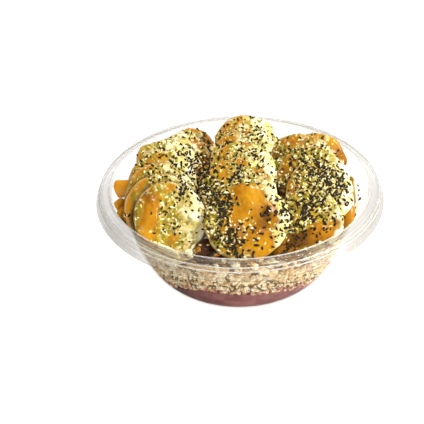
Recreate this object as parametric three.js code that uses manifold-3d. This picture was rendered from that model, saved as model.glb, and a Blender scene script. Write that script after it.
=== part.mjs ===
// An acai bowl, take-away style: a clear plastic bowl holding frozen acai, a layer of granola
// and three rows of banana slices with thick nut sauce and mixed seeds.
// Millimetres, +Z up. The origin is the centre of the base, and -Y is the front.

import * as THREE from 'three';
import { mergeVertices } from 'three/addons/utils/BufferGeometryUtils.js';
import Module from 'manifold-3d';

const wasm = await Module();
wasm.setup();

// ---- Driving dimensions ----------------------------------------------------------------

const TURNS = 36;            // facets round the bowl and its layers
const GAP = 0.3;             // clear space between touching pieces

const WALL = 0.8;            // bowl wall
const BASE_RECESS = 1.2;     // push-up under the base
const RECESS_RADIUS = 34;    // flat of the push-up
const FOOT_INNER = 37;       // inner edge of the ring it stands on
const FOOT_OUTER = 42;       // outer edge of that ring, where the side starts
const BODY_RADIUS = 62.2;    // inside of the side, at its top
const BODY_TOP = 41.4;       // height where the side ends
const BODY_SQUARENESS = 3.2; // 2 is an elliptic side, more is boxier
const BODY_TAPER = 8.5;      // how far the side also leans in, from its top to its foot
const BODY_STEPS = 8;
const LEDGE_RADIUS = 63.6;   // lid seat above the side
const LEDGE_HEIGHT = 42.2;
const MOUTH_RADIUS = 68.6;   // inner edge of the rim's flat top
const RIM_HEIGHT = 51.4;     // top of the rim
const RIM_ROUND = 0.5;
const LAND_RADIUS = 72.2;    // outer edge of the rim's flat top
const SKIRT_CREASE = [73.9, 48.6];
const SKIRT_EDGE = [76, 44.75];

// A layer's height at the centre, its heights round the wall, evenly spaced from the front and
// turning to the right (+X), and how far it is banked up behind the rows of slices.
const ACAI = { centre: 19, ridge: 0, rings: [25, 42, 54, 70],
  wall: [18, 17.5, 13.5, 7.5, 5.5, 5.5, 6, 7, 8.5, 10, 11.5, 12.5,
    13, 12.5, 11.5, 10, 8, 6.5, 5.5, 5, 4.5, 5.5, 14.5, 19] };
const GRANOLA = { centre: 42.5, ridge: 8.5, rings: [20, 33, 44, 58, 70],
  wall: [40.6, 40, 39.4, 38.6, 39.2, 40, 40.4, 40, 39.2, 39.6, 40.2, 41] };
const RIDGE_MIDDLE = 4;      // the bank bends forward to both sides of here
const RIDGE_BACK = 34;
const RIDGE_BEND = 0.0075;
const RIDGE_WIDTH = 12;
const GRANOLA_INSET = 1.9;   // the core stays this far inside the pieces that lean on the wall
const FLAKE_ROWS = [20, 25.5, 31, 36.5];
const FLAKE_SPREAD = 2.4;    // how far a piece may be off its row, up and down together
const FLAKES_PER_ROW = 11;
const FLAKE_START = 52;      // radius from which a piece is moved out to the wall
const LUMP_ROUGHNESS = 0.35;
const SOFT_ROUGHNESS = 0.2;  // of a run of sauce
const SEED_ROUGHNESS = 0.1;
const TOP_PIECES = 44;       // tried; those that would cross a slice are left out
const TOP_REACH = 56;
const SHARE_SUNK = 0.08;     // least share of a piece that is sunk in the core
const FLAKE_SIZE = [4.6, 3.6, 2];
const CLUSTER_SIZE = [5.2, 4.4, 3.2];
const CLUSTER_SHARE = 0.25;  // of the pieces, how many are clusters
const SMALLEST_PIECE = 0.8;  // as a share of the full size
const LARGEST_PIECE = 1.2;
const STAGGER = 0.5;         // every other row starts this share of a step further round
const STEP_SPREAD = 0.35;    // how far a piece may be off its place in the row, in steps
const WALL_TILT = 0.5;       // how far pieces tip, in radians from end to end of the range
const TOP_TILT = 0.6;
const TOP_CLEAR = 0.15;      // least squared share of the reach where pieces lie on top
const TOP_LIFT = 0.6;

const SLICE_TURNS = 18;
const SLICE_STEPS = [[0.9, 0], [1, -0.22], [1, -0.78], [0.9, -1]];  // width, depth as shares
const SLICE_UNEVEN = [0.018, 0.014];
const SLICE_DOME = 0.3;
const FIT = GAP + 0.05;      // how far round a slice its neighbours keep clear
const SEED_SIZE = [1.2, 0.65, 0.55];
const SEED_REACH = 0.82;     // share of the slice that seeds lie on
const SEED_TRIES = 60;
const SEED_LOWEST = 45.5;
const SEEDS_SHOWING = 5;      // on the front slice of each row
const SEEDS_PARTLY_COVERED = 3;
const SAUCE_THICKNESS = 1.1;
const SAUCE_TURNS = 12;
const SAUCE_SINK = -0.5;     // its underside, as a share of its thickness
const SAUCE_RINGS = [[1, SAUCE_SINK], [1, 0.3], [0.75, 0.85]];

// Each slice: centre of its front face, half width, half height, thickness, how far the face
// looks up from level, how far it is turned to the right, and its patches of thick sauce.
// A patch is its centre, half width and half height as shares of the slice, and its turn.
const SLICES = {
  slice_left_1: { at: [-32.3, -41.4, 53.4], across: 17.2, high: 19, thick: 5.5, up: 42, turn: 16,
    sauce: [[-0.5, 0.05, 0.36, 0.66, 0.1]] },
  slice_left_2: { at: [-36.6, -34, 53.8], across: 18.4, high: 18, thick: 5.3, up: 42, turn: 16 },
  slice_left_3: { at: [-38.3, -25.7, 54.6], across: 18.4, high: 18.2, thick: 5.6, up: 42, turn: 14 },
  slice_left_4: { at: [-38.3, -14.7, 56.4], across: 17.6, high: 18, thick: 6, up: 43, turn: 11,
    sauce: [[-0.55, 0.62, 0.25, 0.2, 0.6]] },
  slice_left_5: { at: [-36.3, -2.4, 56.6], across: 17.4, high: 17.3, thick: 6, up: 44, turn: 8,
    sauce: [[-0.72, 0.5, 0.2, 0.3, 0.5]] },
  slice_left_6: { at: [-30.2, 7.7, 56], across: 15.8, high: 16.5, thick: 6, up: 46, turn: 4,
    sauce: [[0.5, 0.7, 0.3, 0.16, -0.6]] },
  slice_left_7: { at: [-25.9, 16.9, 55], across: 15, high: 15.8, thick: 6, up: 48, turn: 2 },
  slice_centre_1: { at: [3.4, -46.9, 56], across: 19.6, high: 18.7, thick: 8.5, up: 46, turn: 0,
    sauce: [[0.2, 0.02, 0.62, 0.7, -0.5]] },
  slice_centre_2: { at: [0.2, -25.3, 59], across: 18.8, high: 16.9, thick: 8.5, up: 50, turn: 0,
    sauce: [[-0.4, 0.72, 0.3, 0.16, 0.5]] },
  slice_centre_3: { at: [2.6, -8.9, 58], across: 17.8, high: 18, thick: 8.5, up: 50, turn: 0 },
  slice_centre_4: { at: [3.5, 7.4, 58], across: 18.3, high: 17.5, thick: 8.5, up: 50, turn: 0 },
  slice_centre_5: { at: [4.6, 23.6, 57.4], across: 17.4, high: 18, thick: 8.5, up: 48, turn: 0,
    sauce: [[-0.35, 0.6, 0.42, 0.26, 0.4]] },
  slice_right_1: { at: [33.1, -42.1, 52], across: 16.2, high: 15.8, thick: 6, up: 48, turn: -8,
    sauce: [[0.1, -0.3, 0.74, 0.46, 0.15]] },
  slice_right_2: { at: [39.6, -24.5, 56], across: 16.8, high: 17.2, thick: 6.2, up: 48, turn: -8 },
  slice_right_3: { at: [36.6, -11.3, 57], across: 16.6, high: 17, thick: 6.5, up: 48, turn: -8,
    sauce: [[-0.7, 0.45, 0.2, 0.3, 0.5]] },
  slice_right_4: { at: [34, 2.7, 57], across: 17.4, high: 16.8, thick: 6.5, up: 48, turn: -6,
    sauce: [[-0.5, 0.7, 0.4, 0.18, 0.5]] },
  slice_right_5: { at: [43.5, 14.4, 52.5], across: 15.4, high: 15.5, thick: 6.5, up: 46, turn: 4,
    sauce: [[0.6, 0.5, 0.3, 0.34, -0.6]] },
};

// The runs of sauce that hang between a slice and the bowl: centre, half sizes, turn about Z.
const SAUCE_RUNS = {
  slice_left_4: { at: [-58.6, -11.5, 50.6], size: [7, 6, 2.4], turn: 0.15 },
};

// ---- Helpers ---------------------------------------------------------------------------

const radians = THREE.MathUtils.degToRad;
const lerp = THREE.MathUtils.lerp;

function seededRandom(seed) {
  let state = seed;
  return () => {
    state = (state + 0x6d2b79f5) | 0;
    let mixed = Math.imul(state ^ (state >>> 15), 1 | state);
    mixed = (mixed + Math.imul(mixed ^ (mixed >>> 7), 61 | mixed)) ^ mixed;
    return ((mixed ^ (mixed >>> 14)) >>> 0) / 4294967296;
  };
}

/** A manifold solid from a closed three.js geometry. */
function toSolid(geometry) {
  const bare = geometry.clone();
  bare.deleteAttribute('normal');
  bare.deleteAttribute('uv');
  const welded = mergeVertices(bare, 1e-4);
  const corners = welded.index.array;
  const kept = [];
  for (let i = 0; i < corners.length; i += 3) {
    const [a, b, c] = [corners[i], corners[i + 1], corners[i + 2]];
    if (a !== b && b !== c && c !== a) kept.push(a, b, c);
  }
  return new wasm.Manifold(new wasm.Mesh({
    numProp: 3,
    vertProperties: new Float32Array(welded.attributes.position.array),
    triVerts: new Uint32Array(kept),
  }));
}

/** A three.js geometry from a manifold solid. */
function toGeometry(solid) {
  const mesh = solid.getMesh();
  const geometry = new THREE.BufferGeometry();
  geometry.setAttribute('position', new THREE.BufferAttribute(mesh.vertProperties, 3));
  geometry.setIndex(new THREE.BufferAttribute(mesh.triVerts, 1));
  geometry.computeVertexNormals();
  return geometry;
}

/** A solid turned round the Z axis from a closed profile of [radius, height] points. */
function turned(profile) {
  const points = profile.map(([radius, height]) => new THREE.Vector2(radius, height));
  return toSolid(new THREE.LatheGeometry(points, TURNS).rotateX(Math.PI / 2));
}

/** The path moved sideways by a distance, to its right when followed from start to end. */
function offsetPath(path, distance) {
  return path.map((point, i) => {
    const before = path[Math.max(i - 1, 0)];
    const after = path[Math.min(i + 1, path.length - 1)];
    const sides = [[before, point], [point, after]]
      .map(([from, to]) => new THREE.Vector2(to[1] - from[1], from[0] - to[0]))
      .filter((side) => side.length() > 0)
      .map((side) => side.normalize());
    const mitre = sides.reduce((sum, side) => sum.add(side), new THREE.Vector2()).normalize();
    const reach = distance / Math.max(mitre.dot(sides[0]), 0.4);
    return [Math.max(point[0] + mitre.x * reach, 0), point[1] + mitre.y * reach];
  });
}

/** A closed solid of rings of points; each ring is a list of Vector3 and the ends are capped. */
function ringSolid(rings, startCap, endCap) {
  const count = rings[0].length;
  const positions = [startCap, ...rings.flat(), endCap].flatMap((p) => [p.x, p.y, p.z]);
  const last = 1 + rings.length * count;
  const index = [];
  for (let i = 0; i < count; i++) {
    const next = (i + 1) % count;
    index.push(0, 1 + next, 1 + i);
    for (let k = 0; k + 1 < rings.length; k++) {
      const low = 1 + k * count;
      const high = low + count;
      index.push(low + i, low + next, high + next, low + i, high + next, high + i);
    }
    index.push(last, last - count + i, last - count + next);
  }
  const geometry = new THREE.BufferGeometry();
  geometry.setAttribute('position', new THREE.Float32BufferAttribute(positions, 3));
  geometry.setIndex(index);
  return toSolid(geometry);
}

/** A lumpy stone-like piece: an icosahedron with its corners moved by a seeded rule. */
function lump(size, random, roughness) {
  const geometry = mergeVertices(new THREE.IcosahedronGeometry(1, 0).deleteAttribute('normal')
    .deleteAttribute('uv'));
  const corners = geometry.attributes.position;
  for (let i = 0; i < corners.count; i++) {
    const push = 1 + (random() - 0.5) * roughness;
    corners.setXYZ(i, corners.getX(i) * push * size[0], corners.getY(i) * push * size[1],
      corners.getZ(i) * push * size[2]);
  }
  return geometry;
}

const crosses = (a, b) => a.intersect(b).volume() > 1e-4;

const SPACE_TOP = 90;        // above everything
const SPACE_BOTTOM = -10;    // below everything

// ---- Bowl ------------------------------------------------------------------------------

/** The side of the bowl, seen from inside, as a squared-off quarter of an ellipse. */
function sidePath() {
  const power = 2 / BODY_SQUARENESS;
  const path = [];
  for (let i = 0; i <= BODY_STEPS; i++) {
    const angle = (Math.PI / 2) * (i / BODY_STEPS);
    const height = WALL + (BODY_TOP - WALL) * (1 - Math.cos(angle) ** power);
    path.push([
      FOOT_OUTER + (BODY_RADIUS - BODY_TAPER * (1 - height / BODY_TOP) - FOOT_OUTER)
        * Math.sin(angle) ** power,
      height,
    ]);
  }
  return path;
}

/** The upper side of the sheet that the bowl is formed from, from the axis to the skirt. */
function insidePath() {
  return [
    [0, WALL + BASE_RECESS],
    [RECESS_RADIUS, WALL + BASE_RECESS],
    [FOOT_INNER, WALL],
    ...sidePath(),
    [LEDGE_RADIUS, LEDGE_HEIGHT],
    [MOUTH_RADIUS - RIM_ROUND, RIM_HEIGHT - RIM_ROUND],
    [MOUTH_RADIUS, RIM_HEIGHT],
    [LAND_RADIUS, RIM_HEIGHT],
    SKIRT_CREASE,
    SKIRT_EDGE,
  ];
}

const inside = insidePath();
const bowl = turned([...offsetPath(inside, WALL), ...inside.slice().reverse()]);

/** The space inside the bowl, a given distance clear of its wall, carried straight up. */
function cavity(clearance, top) {
  const wall = inside.slice(0, inside.findIndex(([, height]) => height === RIM_HEIGHT));
  const path = offsetPath(wall, -clearance);
  return turned([...path, [path[path.length - 1][0], top], [0, top]]);
}

const room = cavity(GAP, SPACE_TOP);
const leavesRoom = (solid) => solid.subtract(room).volume() > 1e-5;
const staysInRoom = (solid) => (leavesRoom(solid) ? solid.intersect(room) : solid);

// ---- Layers ----------------------------------------------------------------------------

/** A smooth height round the wall through evenly spaced values. */
function roundTheWall(values, angle) {
  const place = ((angle / (2 * Math.PI)) * values.length + values.length) % values.length;
  const index = Math.floor(place);
  const blend = (1 - Math.cos((place - index) * Math.PI)) / 2;
  return lerp(values[index % values.length], values[(index + 1) % values.length], blend);
}

/** A layer's top: even in the middle, uneven round the wall, with a ridge where it has one. */
function level(layer, radius, angle, lift) {
  const outwards = Math.min(radius / BODY_RADIUS, 1) ** 2;
  const [x, y] = [radius * Math.sin(angle), -radius * Math.cos(angle)];
  const ridgeLine = RIDGE_BACK - RIDGE_BEND * (x - RIDGE_MIDDLE) ** 2;
  const ridge = layer.ridge * Math.exp(-(((y - ridgeLine) / RIDGE_WIDTH) ** 2)) * (1 - outwards ** 2);
  return lift + lerp(layer.centre, roundTheWall(layer.wall, angle), outwards) + ridge;
}

/** Everything below a layer's top. */
function below(layer, lift) {
  const ring = (radius, height) => Array.from({ length: TURNS }, (_, i) => {
    const angle = (2 * Math.PI * i) / TURNS;
    const z = height ?? level(layer, radius, angle, lift);
    return new THREE.Vector3(radius * Math.sin(angle), -radius * Math.cos(angle), z);
  });
  const surface = layer.rings.map((radius) => ring(radius)).reverse();
  const rings = [ring(layer.rings.at(-1), SPACE_BOTTOM), ...surface];
  return ringSolid(rings, new THREE.Vector3(0, 0, SPACE_BOTTOM),
    new THREE.Vector3(0, 0, level(layer, 0, 0, lift)));
}

const acai = room.intersect(below(ACAI, 0));

// ---- Banana slices ---------------------------------------------------------------------

function sliceFrame({ at, up, turn }) {
  const [rise, swing] = [radians(up), radians(turn)];
  const side = new THREE.Vector3(Math.cos(swing), Math.sin(swing), 0);
  const face = new THREE.Vector3(Math.sin(swing) * Math.cos(rise),
    -Math.cos(swing) * Math.cos(rise), Math.sin(rise));
  const along = new THREE.Vector3().crossVectors(face, side);
  return new THREE.Matrix4().makeBasis(side, along, face).setPosition(...at);
}

/** One slice: a disc that isn't quite round, with eased edges and a slightly domed face. */
function sliceSolid(slice, phase, grow = 0) {
  const rings = SLICE_STEPS.map(([share, depth]) => Array.from({ length: SLICE_TURNS }, (_, i) => {
    const angle = (2 * Math.PI * i) / SLICE_TURNS;
    const outline = 1 + SLICE_UNEVEN[0] * Math.cos(2 * angle + phase)
      + SLICE_UNEVEN[1] * Math.cos(3 * angle + 2 * phase);
    const z = lerp(grow, -slice.thick - grow, -depth);
    return new THREE.Vector3(share * outline * (slice.across + grow) * Math.cos(angle),
      share * outline * (slice.high + grow) * Math.sin(angle), z);
  })).reverse();
  const ends = [-slice.thick - grow, grow + SLICE_DOME].map((z) => new THREE.Vector3(0, 0, z));
  const frame = sliceFrame(slice);
  const placed = rings.map((ring) => ring.map((p) => p.applyMatrix4(frame)));
  return ringSolid(placed, ends[0].applyMatrix4(frame), ends[1].applyMatrix4(frame));
}

const sliceNames = Object.keys(SLICES);
const phases = Object.fromEntries(sliceNames.map((name, i) => [name, 1.7 * i]));
const grownSlices = Object.fromEntries(sliceNames
  .map((name) => [name, sliceSolid(SLICES[name], phases[name], FIT)]));

/** The bare slice, cut back where it would run into one that lies over it. */
function bareSlice(name, over) {
  return over.reduce((solid, other) => (crosses(solid, grownSlices[other])
    ? solid.subtract(grownSlices[other]) : solid), staysInRoom(sliceSolid(SLICES[name], phases[name])));
}

const FITTING_ORDER = ['slice_centre_1', ...sliceNames.filter((name) => name !== 'slice_centre_1')];
const bareSlices = {};
for (const name of FITTING_ORDER) bareSlices[name] = bareSlice(name, Object.keys(bareSlices));

/** A low dome of thick sauce on a slice's face. */
function saucePatch(slice, [x, y, halfWidth, halfHeight, turn]) {
  const patch = sliceFrame(slice)
    .multiply(new THREE.Matrix4().makeTranslation(x * slice.across, y * slice.high, 0))
    .multiply(new THREE.Matrix4().makeRotationZ(turn));
  const place = (across, along, height) => new THREE.Vector3(across * halfWidth * slice.across,
    along * halfHeight * slice.high, height * SAUCE_THICKNESS).applyMatrix4(patch);
  const rings = SAUCE_RINGS.map(([share, height]) => Array.from(
    { length: SAUCE_TURNS }, (_, i) => {
      const angle = (2 * Math.PI * i) / SAUCE_TURNS;
      return place(share * Math.cos(angle), share * Math.sin(angle), height);
    }));
  return ringSolid(rings, place(0, 0, SAUCE_SINK), place(0, 0, 1));
}

function sauceRun({ at, size, turn }) {
  const random = seededRandom(5);
  return toSolid(lump(size, random, SOFT_ROUGHNESS).rotateZ(turn).translate(...at));
}

/** Seeds lie flat on the face, each a long low grain turned at random. */
function seedSolid(slice, x, y, turn, random) {
  const grain = lump(SEED_SIZE, random, SEED_ROUGHNESS).rotateZ(turn)
    .translate(x * slice.across, y * slice.high, 0.25 * SEED_SIZE[2]);
  return toSolid(grain.applyMatrix4(sliceFrame(slice)));
}

function dressedSlice(name) {
  const slice = SLICES[name];
  const random = seededRandom(100 + sliceNames.indexOf(name));
  const others = sliceNames.filter((other) => other !== name).map((other) => grownSlices[other]);
  const clear = (piece) => !leavesRoom(piece) && !others.some((other) => crosses(piece, other));
  let solid = bareSlices[name];
  for (const patch of slice.sauce ?? []) {
    let dome = staysInRoom(saucePatch(slice, patch));
    for (const other of others) if (crosses(dome, other)) dome = dome.subtract(other);
    solid = solid.add(dome);
  }
  if (SAUCE_RUNS[name]) {
    let run = sauceRun(SAUCE_RUNS[name]);
    for (const other of others) if (crosses(run, other)) run = run.subtract(other);
    solid = solid.add(staysInRoom(run));
  }
  const wanted = name.endsWith('_1') ? SEEDS_SHOWING : SEEDS_PARTLY_COVERED;
  for (let placed = 0, tries = 0; placed < wanted && tries < SEED_TRIES; tries++) {
    const reach = SEED_REACH * Math.sqrt(random());
    const angle = 2 * Math.PI * random();
    const grain = seedSolid(slice, reach * Math.cos(angle), reach * Math.sin(angle),
      Math.PI * random(), random);
    if (grain.boundingBox().min[2] < SEED_LOWEST || !clear(grain)) continue;
    solid = solid.add(grain);
    placed++;
  }
  return solid;
}

const slices = Object.fromEntries(sliceNames.map((name) => [name, dressedSlice(name)]));

// ---- Granola ---------------------------------------------------------------------------

const wallRadii = inside.slice(0, inside.findIndex(([, height]) => height === RIM_HEIGHT));

/** Inner radius of the bowl at a height. */
function wallRadius(z) {
  const above = wallRadii.findIndex(([, height], i) => i > 2 && height >= z);
  const [low, high] = [wallRadii[above - 1], wallRadii[above]];
  return lerp(low[0], high[0], (z - low[1]) / (high[1] - low[1]));
}

/** Moves a piece along its own direction from the axis until it only just clears the wall. */
function leanOnWall(geometry, angle) {
  const corners = geometry.attributes.position;
  const facet = Math.cos(Math.PI / TURNS);
  let spare = Infinity;
  for (let i = 0; i < corners.count; i++) {
    const radius = Math.hypot(corners.getX(i), corners.getY(i));
    spare = Math.min(spare, wallRadius(corners.getZ(i)) * facet - GAP - radius);
  }
  return geometry.translate(spare * Math.sin(angle), -spare * Math.cos(angle), 0);
}

/** A flake or, now and then, a cluster, at the piece's own turn and share of its full size. */
function granolaPiece(random) {
  const size = random() < CLUSTER_SHARE ? CLUSTER_SIZE : FLAKE_SIZE;
  const share = lerp(SMALLEST_PIECE, LARGEST_PIECE, random());
  return lump(size.map((half) => half * share), random, LUMP_ROUGHNESS)
    .rotateZ(2 * Math.PI * random());
}

/** The pieces that lean on the wall, in rows round it. */
function piecesAtWall(random) {
  return FLAKE_ROWS.flatMap((height, row) => Array.from({ length: FLAKES_PER_ROW }, (_, i) => {
    const place = i + STAGGER * (row % 2) + STEP_SPREAD * random();
    const angle = (2 * Math.PI * place) / FLAKES_PER_ROW;
    const z = height + FLAKE_SPREAD * (random() - 0.5);
    const piece = granolaPiece(random).rotateX(Math.PI / 2 + WALL_TILT * (random() - 0.5));
    piece.rotateZ(angle)
      .translate(FLAKE_START * Math.sin(angle), -FLAKE_START * Math.cos(angle), z);
    return toSolid(leanOnWall(piece, angle));
  }));
}

/** The pieces that lie on top, in the open places between the slices and the wall. */
function piecesOnTop(random) {
  return Array.from({ length: TOP_PIECES }, () => {
    const angle = 2 * Math.PI * random();
    const radius = TOP_REACH * Math.sqrt(lerp(TOP_CLEAR, 1, random()));
    const piece = granolaPiece(random).rotateX(TOP_TILT * (random() - 0.5))
      .rotateY(TOP_TILT * (random() - 0.5));
    piece.translate(radius * Math.sin(angle), -radius * Math.cos(angle),
      level(GRANOLA, radius, angle, TOP_LIFT));
    return toSolid(piece);
  });
}

function granolaSolid() {
  const acaiSide = below(ACAI, GAP);
  const core = cavity(GRANOLA_INSET, RIM_HEIGHT).intersect(below(GRANOLA, -1)).subtract(acaiSide);
  const toppings = sliceNames.flatMap((name) => [grownSlices[name], slices[name]]);
  const random = seededRandom(41);
  const heap = sliceNames.reduce((rest, name) => (crosses(rest, grownSlices[name])
    ? rest.subtract(grownSlices[name]) : rest), core);
  const holds = (piece) => piece.intersect(heap).volume() > SHARE_SUNK * piece.volume();
  const fits = (piece) => !leavesRoom(piece) && !crosses(piece, acaiSide) && holds(piece)
    && !toppings.some((topping) => crosses(piece, topping));
  return [...piecesAtWall(random), ...piecesOnTop(random)]
    .filter(fits)
    .reduce((solid, piece) => solid.add(piece), heap);
}

const granola = granolaSolid();

// ---- Scene graph -----------------------------------------------------------------------

const clearPlastic = new THREE.MeshStandardMaterial({
  color: 0xeef3f4, roughness: 0.08, metalness: 0, transparent: true, opacity: 0.3,
});
const frozenAcai = new THREE.MeshStandardMaterial({ color: 0x74404a, roughness: 0.75, metalness: 0 });
const toastedGranola = new THREE.MeshStandardMaterial({ color: 0xd9b98a, roughness: 0.85, metalness: 0 });
const banana = new THREE.MeshStandardMaterial({ color: 0xeadb9c, roughness: 0.5, metalness: 0 });

const acaiBowl = new THREE.Group();

function addNode(name, solid, material) {
  const mesh = new THREE.Mesh(toGeometry(solid), material);
  mesh.name = name;
  acaiBowl.add(mesh);
}

addNode('bowl', bowl, clearPlastic);
addNode('acai', acai, frozenAcai);
addNode('granola', granola, toastedGranola);
for (const name of sliceNames) addNode(name, slices[name], banana);

export default acaiBowl;
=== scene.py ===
import math

import bpy
import numpy as np
from mathutils import Matrix, Vector, noise
from mathutils.bvhtree import BVHTree


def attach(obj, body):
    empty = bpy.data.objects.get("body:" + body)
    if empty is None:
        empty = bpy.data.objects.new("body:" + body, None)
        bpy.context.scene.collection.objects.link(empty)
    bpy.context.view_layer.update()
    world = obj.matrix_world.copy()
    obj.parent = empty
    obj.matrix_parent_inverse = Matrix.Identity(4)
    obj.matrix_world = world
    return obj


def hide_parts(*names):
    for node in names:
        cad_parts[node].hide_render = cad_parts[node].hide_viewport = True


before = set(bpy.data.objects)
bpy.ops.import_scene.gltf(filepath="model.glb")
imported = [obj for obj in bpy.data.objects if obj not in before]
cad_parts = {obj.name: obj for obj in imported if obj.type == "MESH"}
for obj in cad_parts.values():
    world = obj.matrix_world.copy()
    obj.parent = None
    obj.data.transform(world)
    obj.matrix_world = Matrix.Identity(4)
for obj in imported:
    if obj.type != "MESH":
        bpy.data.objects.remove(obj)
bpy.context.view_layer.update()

# An acai bowl, take-away style: clear plastic bowl, frozen acai, granola, three rows of banana
# slices with thick nut sauce, black seeds, pale seed hearts and green ones.
# Everything is worked out in millimetres and made in metres; -Y is the front.

MM = 0.001

# ---- Sizes -----------------------------------------------------------------------------

WALL = 0.8                   # thickness of the sheet
BASE_TOP = 2.0               # upper side of the push-up under the acai
RECESS_RADIUS = 34
FOOT_INNER = 37
FOOT_OUTER = 42
BODY_RADIUS = 62.2
BODY_TOP = 41.4
BODY_SQUARENESS = 3.2
BODY_TAPER = 8.5
BODY_STEPS = 44
LEDGE = (63.6, 42.2)
MOUTH_RADIUS = 68.6
RIM_HEIGHT = 51.4
LAND_RADIUS = 72.2
SKIRT_CREASE = (73.9, 48.6)
SKIRT_EDGE = (76.0, 44.75)
# Fine beads moulded in the sheet: radius, height.
BEADS = ((62.9, 0.3), (69.4, 0.14), (71.5, 0.14), (73.3, 0.12), (75.0, 0.12))
BEAD_WIDTH = 0.35
BASE_EASE = 1.2              # how far the corners at the base and in the rim are rounded off
RIM_EASE = 0.7
RIM_SHADE_FADE = 0.95              # how much less painted shade greys the rim at the back, and from where to where
RIM_SHADE_FROM = -30
RIM_SHADE_TO = 25
# The rounded edges of the sheet: radius, height, half thickness.
MOULDED_RINGS = ((68.4, 51.25, 0.28), (73.1, 50.1, 0.3), (74.1, 48.5, 0.3))
RING_SIDES = 8
RIM_STEP = 0.3
BOWL_TURNS = 192
PRESSED_IN = 0.12            # how far the food reaches into the wall

# Heights of the layers' tops: in the middle, and round the wall from the front to the right.
ACAI_CENTRE = 19
ACAI_WALL = (18, 17.5, 13.5, 7.5, 5.5, 5.5, 6, 7, 8.5, 10, 11.5, 12.5,
             13, 12.5, 11.5, 10, 8, 6.5, 5.5, 5, 4.5, 5.5, 14.5, 19)
ACAI_BOTTOM = WALL + 0.05    # a hair above the sheet
ACAI_EDGE_RADIUS = 60        # where the tops are measured next to the wall
GRANOLA_EDGE_RADIUS = 61
ACAI_WALL_RINGS = 26
ACAI_TOP_RINGS = (0.96, 0.84, 0.68, 0.48, 0.24)
ACAI_LEFT_SHADE = 0.9            # how much darker painted shade makes it at the far left
GRANOLA_CENTRE = 42.5
GRANOLA_WALL = (40.6, 40, 39.4, 38.6, 39.2, 40, 40.4, 40, 39.2, 39.6, 40.2, 41)
# The bank behind the rows: its height, where its middle is in x and in y, how its line bends to
# the front on both sides, and how wide it is.
RIDGE_HEIGHT = 8.5
RIDGE_MIDDLE = 4
RIDGE_BACK = 34
RIDGE_BEND = 0.0075
RIDGE_WIDTH = 12
LAYER_TURNS = 240
LAYER_ANGLES = [2 * math.pi * i / LAYER_TURNS for i in range(LAYER_TURNS)]
CORE_INSET = 2.0             # how far the granola's core stays back from the wall
CORE_DEPTH = 1.5             # how far it reaches down into the acai
CORE_SINK = 0.6              # how far it stays below the crumbs on top
CORE_WALL_RINGS = 30
CORE_TOP_RINGS = np.linspace(59.5, 3, 34)
TOP_CRUMBS_REACH = 60.5

# name: centre of the front face, half width, half height, thickness, degrees the face looks up
# from level, degrees it is turned to the right
SLICES = {
    "left_1": ((-32.3, -41.4, 53.4), 17.2, 19.0, 5.5, 42, 16),
    "left_2": ((-36.6, -34.0, 53.8), 18.4, 18.0, 5.3, 42, 16),
    "left_3": ((-38.3, -25.7, 54.6), 18.4, 18.2, 5.6, 42, 14),
    "left_4": ((-38.3, -14.7, 56.4), 17.6, 18.0, 6.0, 43, 11),
    "left_5": ((-36.3, -2.4, 56.6), 17.4, 17.3, 6.0, 44, 8),
    "left_6": ((-30.2, 7.7, 56.0), 15.8, 16.5, 6.0, 46, 4),
    "left_7": ((-25.9, 16.9, 55.0), 15.0, 15.8, 6.0, 48, 2),
    "centre_1": ((3.4, -46.9, 56.0), 19.6, 18.7, 8.5, 46, 0),
    "centre_2": ((0.2, -25.3, 59.0), 18.8, 16.9, 8.5, 50, 0),
    "centre_3": ((2.6, -8.9, 58.0), 17.8, 18.0, 8.5, 50, 0),
    "centre_4": ((3.5, 7.4, 58.0), 18.3, 17.5, 8.5, 50, 0),
    "centre_5": ((4.6, 23.6, 57.4), 17.4, 18.0, 8.5, 48, 0),
    "right_1": ((33.1, -42.1, 52.0), 16.2, 15.8, 6.0, 48, -8),
    "right_2": ((39.6, -24.5, 56.0), 16.8, 17.2, 6.2, 48, -8),
    "right_3": ((36.6, -11.3, 57.0), 16.6, 17.0, 6.5, 48, -8),
    "right_4": ((34.0, 2.7, 57.0), 17.4, 16.8, 6.5, 48, -6),
    "right_5": ((43.5, 14.4, 52.5), 15.4, 15.5, 6.5, 46, 4),
}

SLICE_TURNS = 160
SLICE_FACE_RINGS = 34
COAT_ROWS = SLICE_FACE_RINGS + 7     # rows of a slice that thick sauce can cover
EDGE_ROUND = 1.3             # radius of a slice's rounded edges
SLICE_DOME = 0.3             # how far the middle of its face stands out
NEXT_PHASE = 1.7             # how much one slice's unevenness differs from the next one's
SEAM_SHADE_REACH = 3.2             # how far from its neighbour a slice is darkened by painted shade
SEAM_NEIGHBOURS = 25

# Thick sauce that stands proud of a slice: centre, half width and half height as shares of the
# slice, turn.
SAUCE = {
    "left_1": [(-0.52, 0.25, 0.19, 0.5, -0.38), (-0.64, -0.09, 0.2, 0.38, -0.3)],
    "centre_1": [(0.02, 0.62, 0.38, 0.3, 0), (0.1, 0.08, 0.48, 0.45, -0.1), (0.52, 0.12, 0.24, 0.3, 0),
                 (0.25, -0.52, 0.36, 0.42, 0.1)],
    "right_1": [(0.12, -0.44, 0.75, 0.25, 0.45)],
    "right_5": [(0.72, 0.35, 0.42, 0.6, -0.5)],
}
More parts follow.
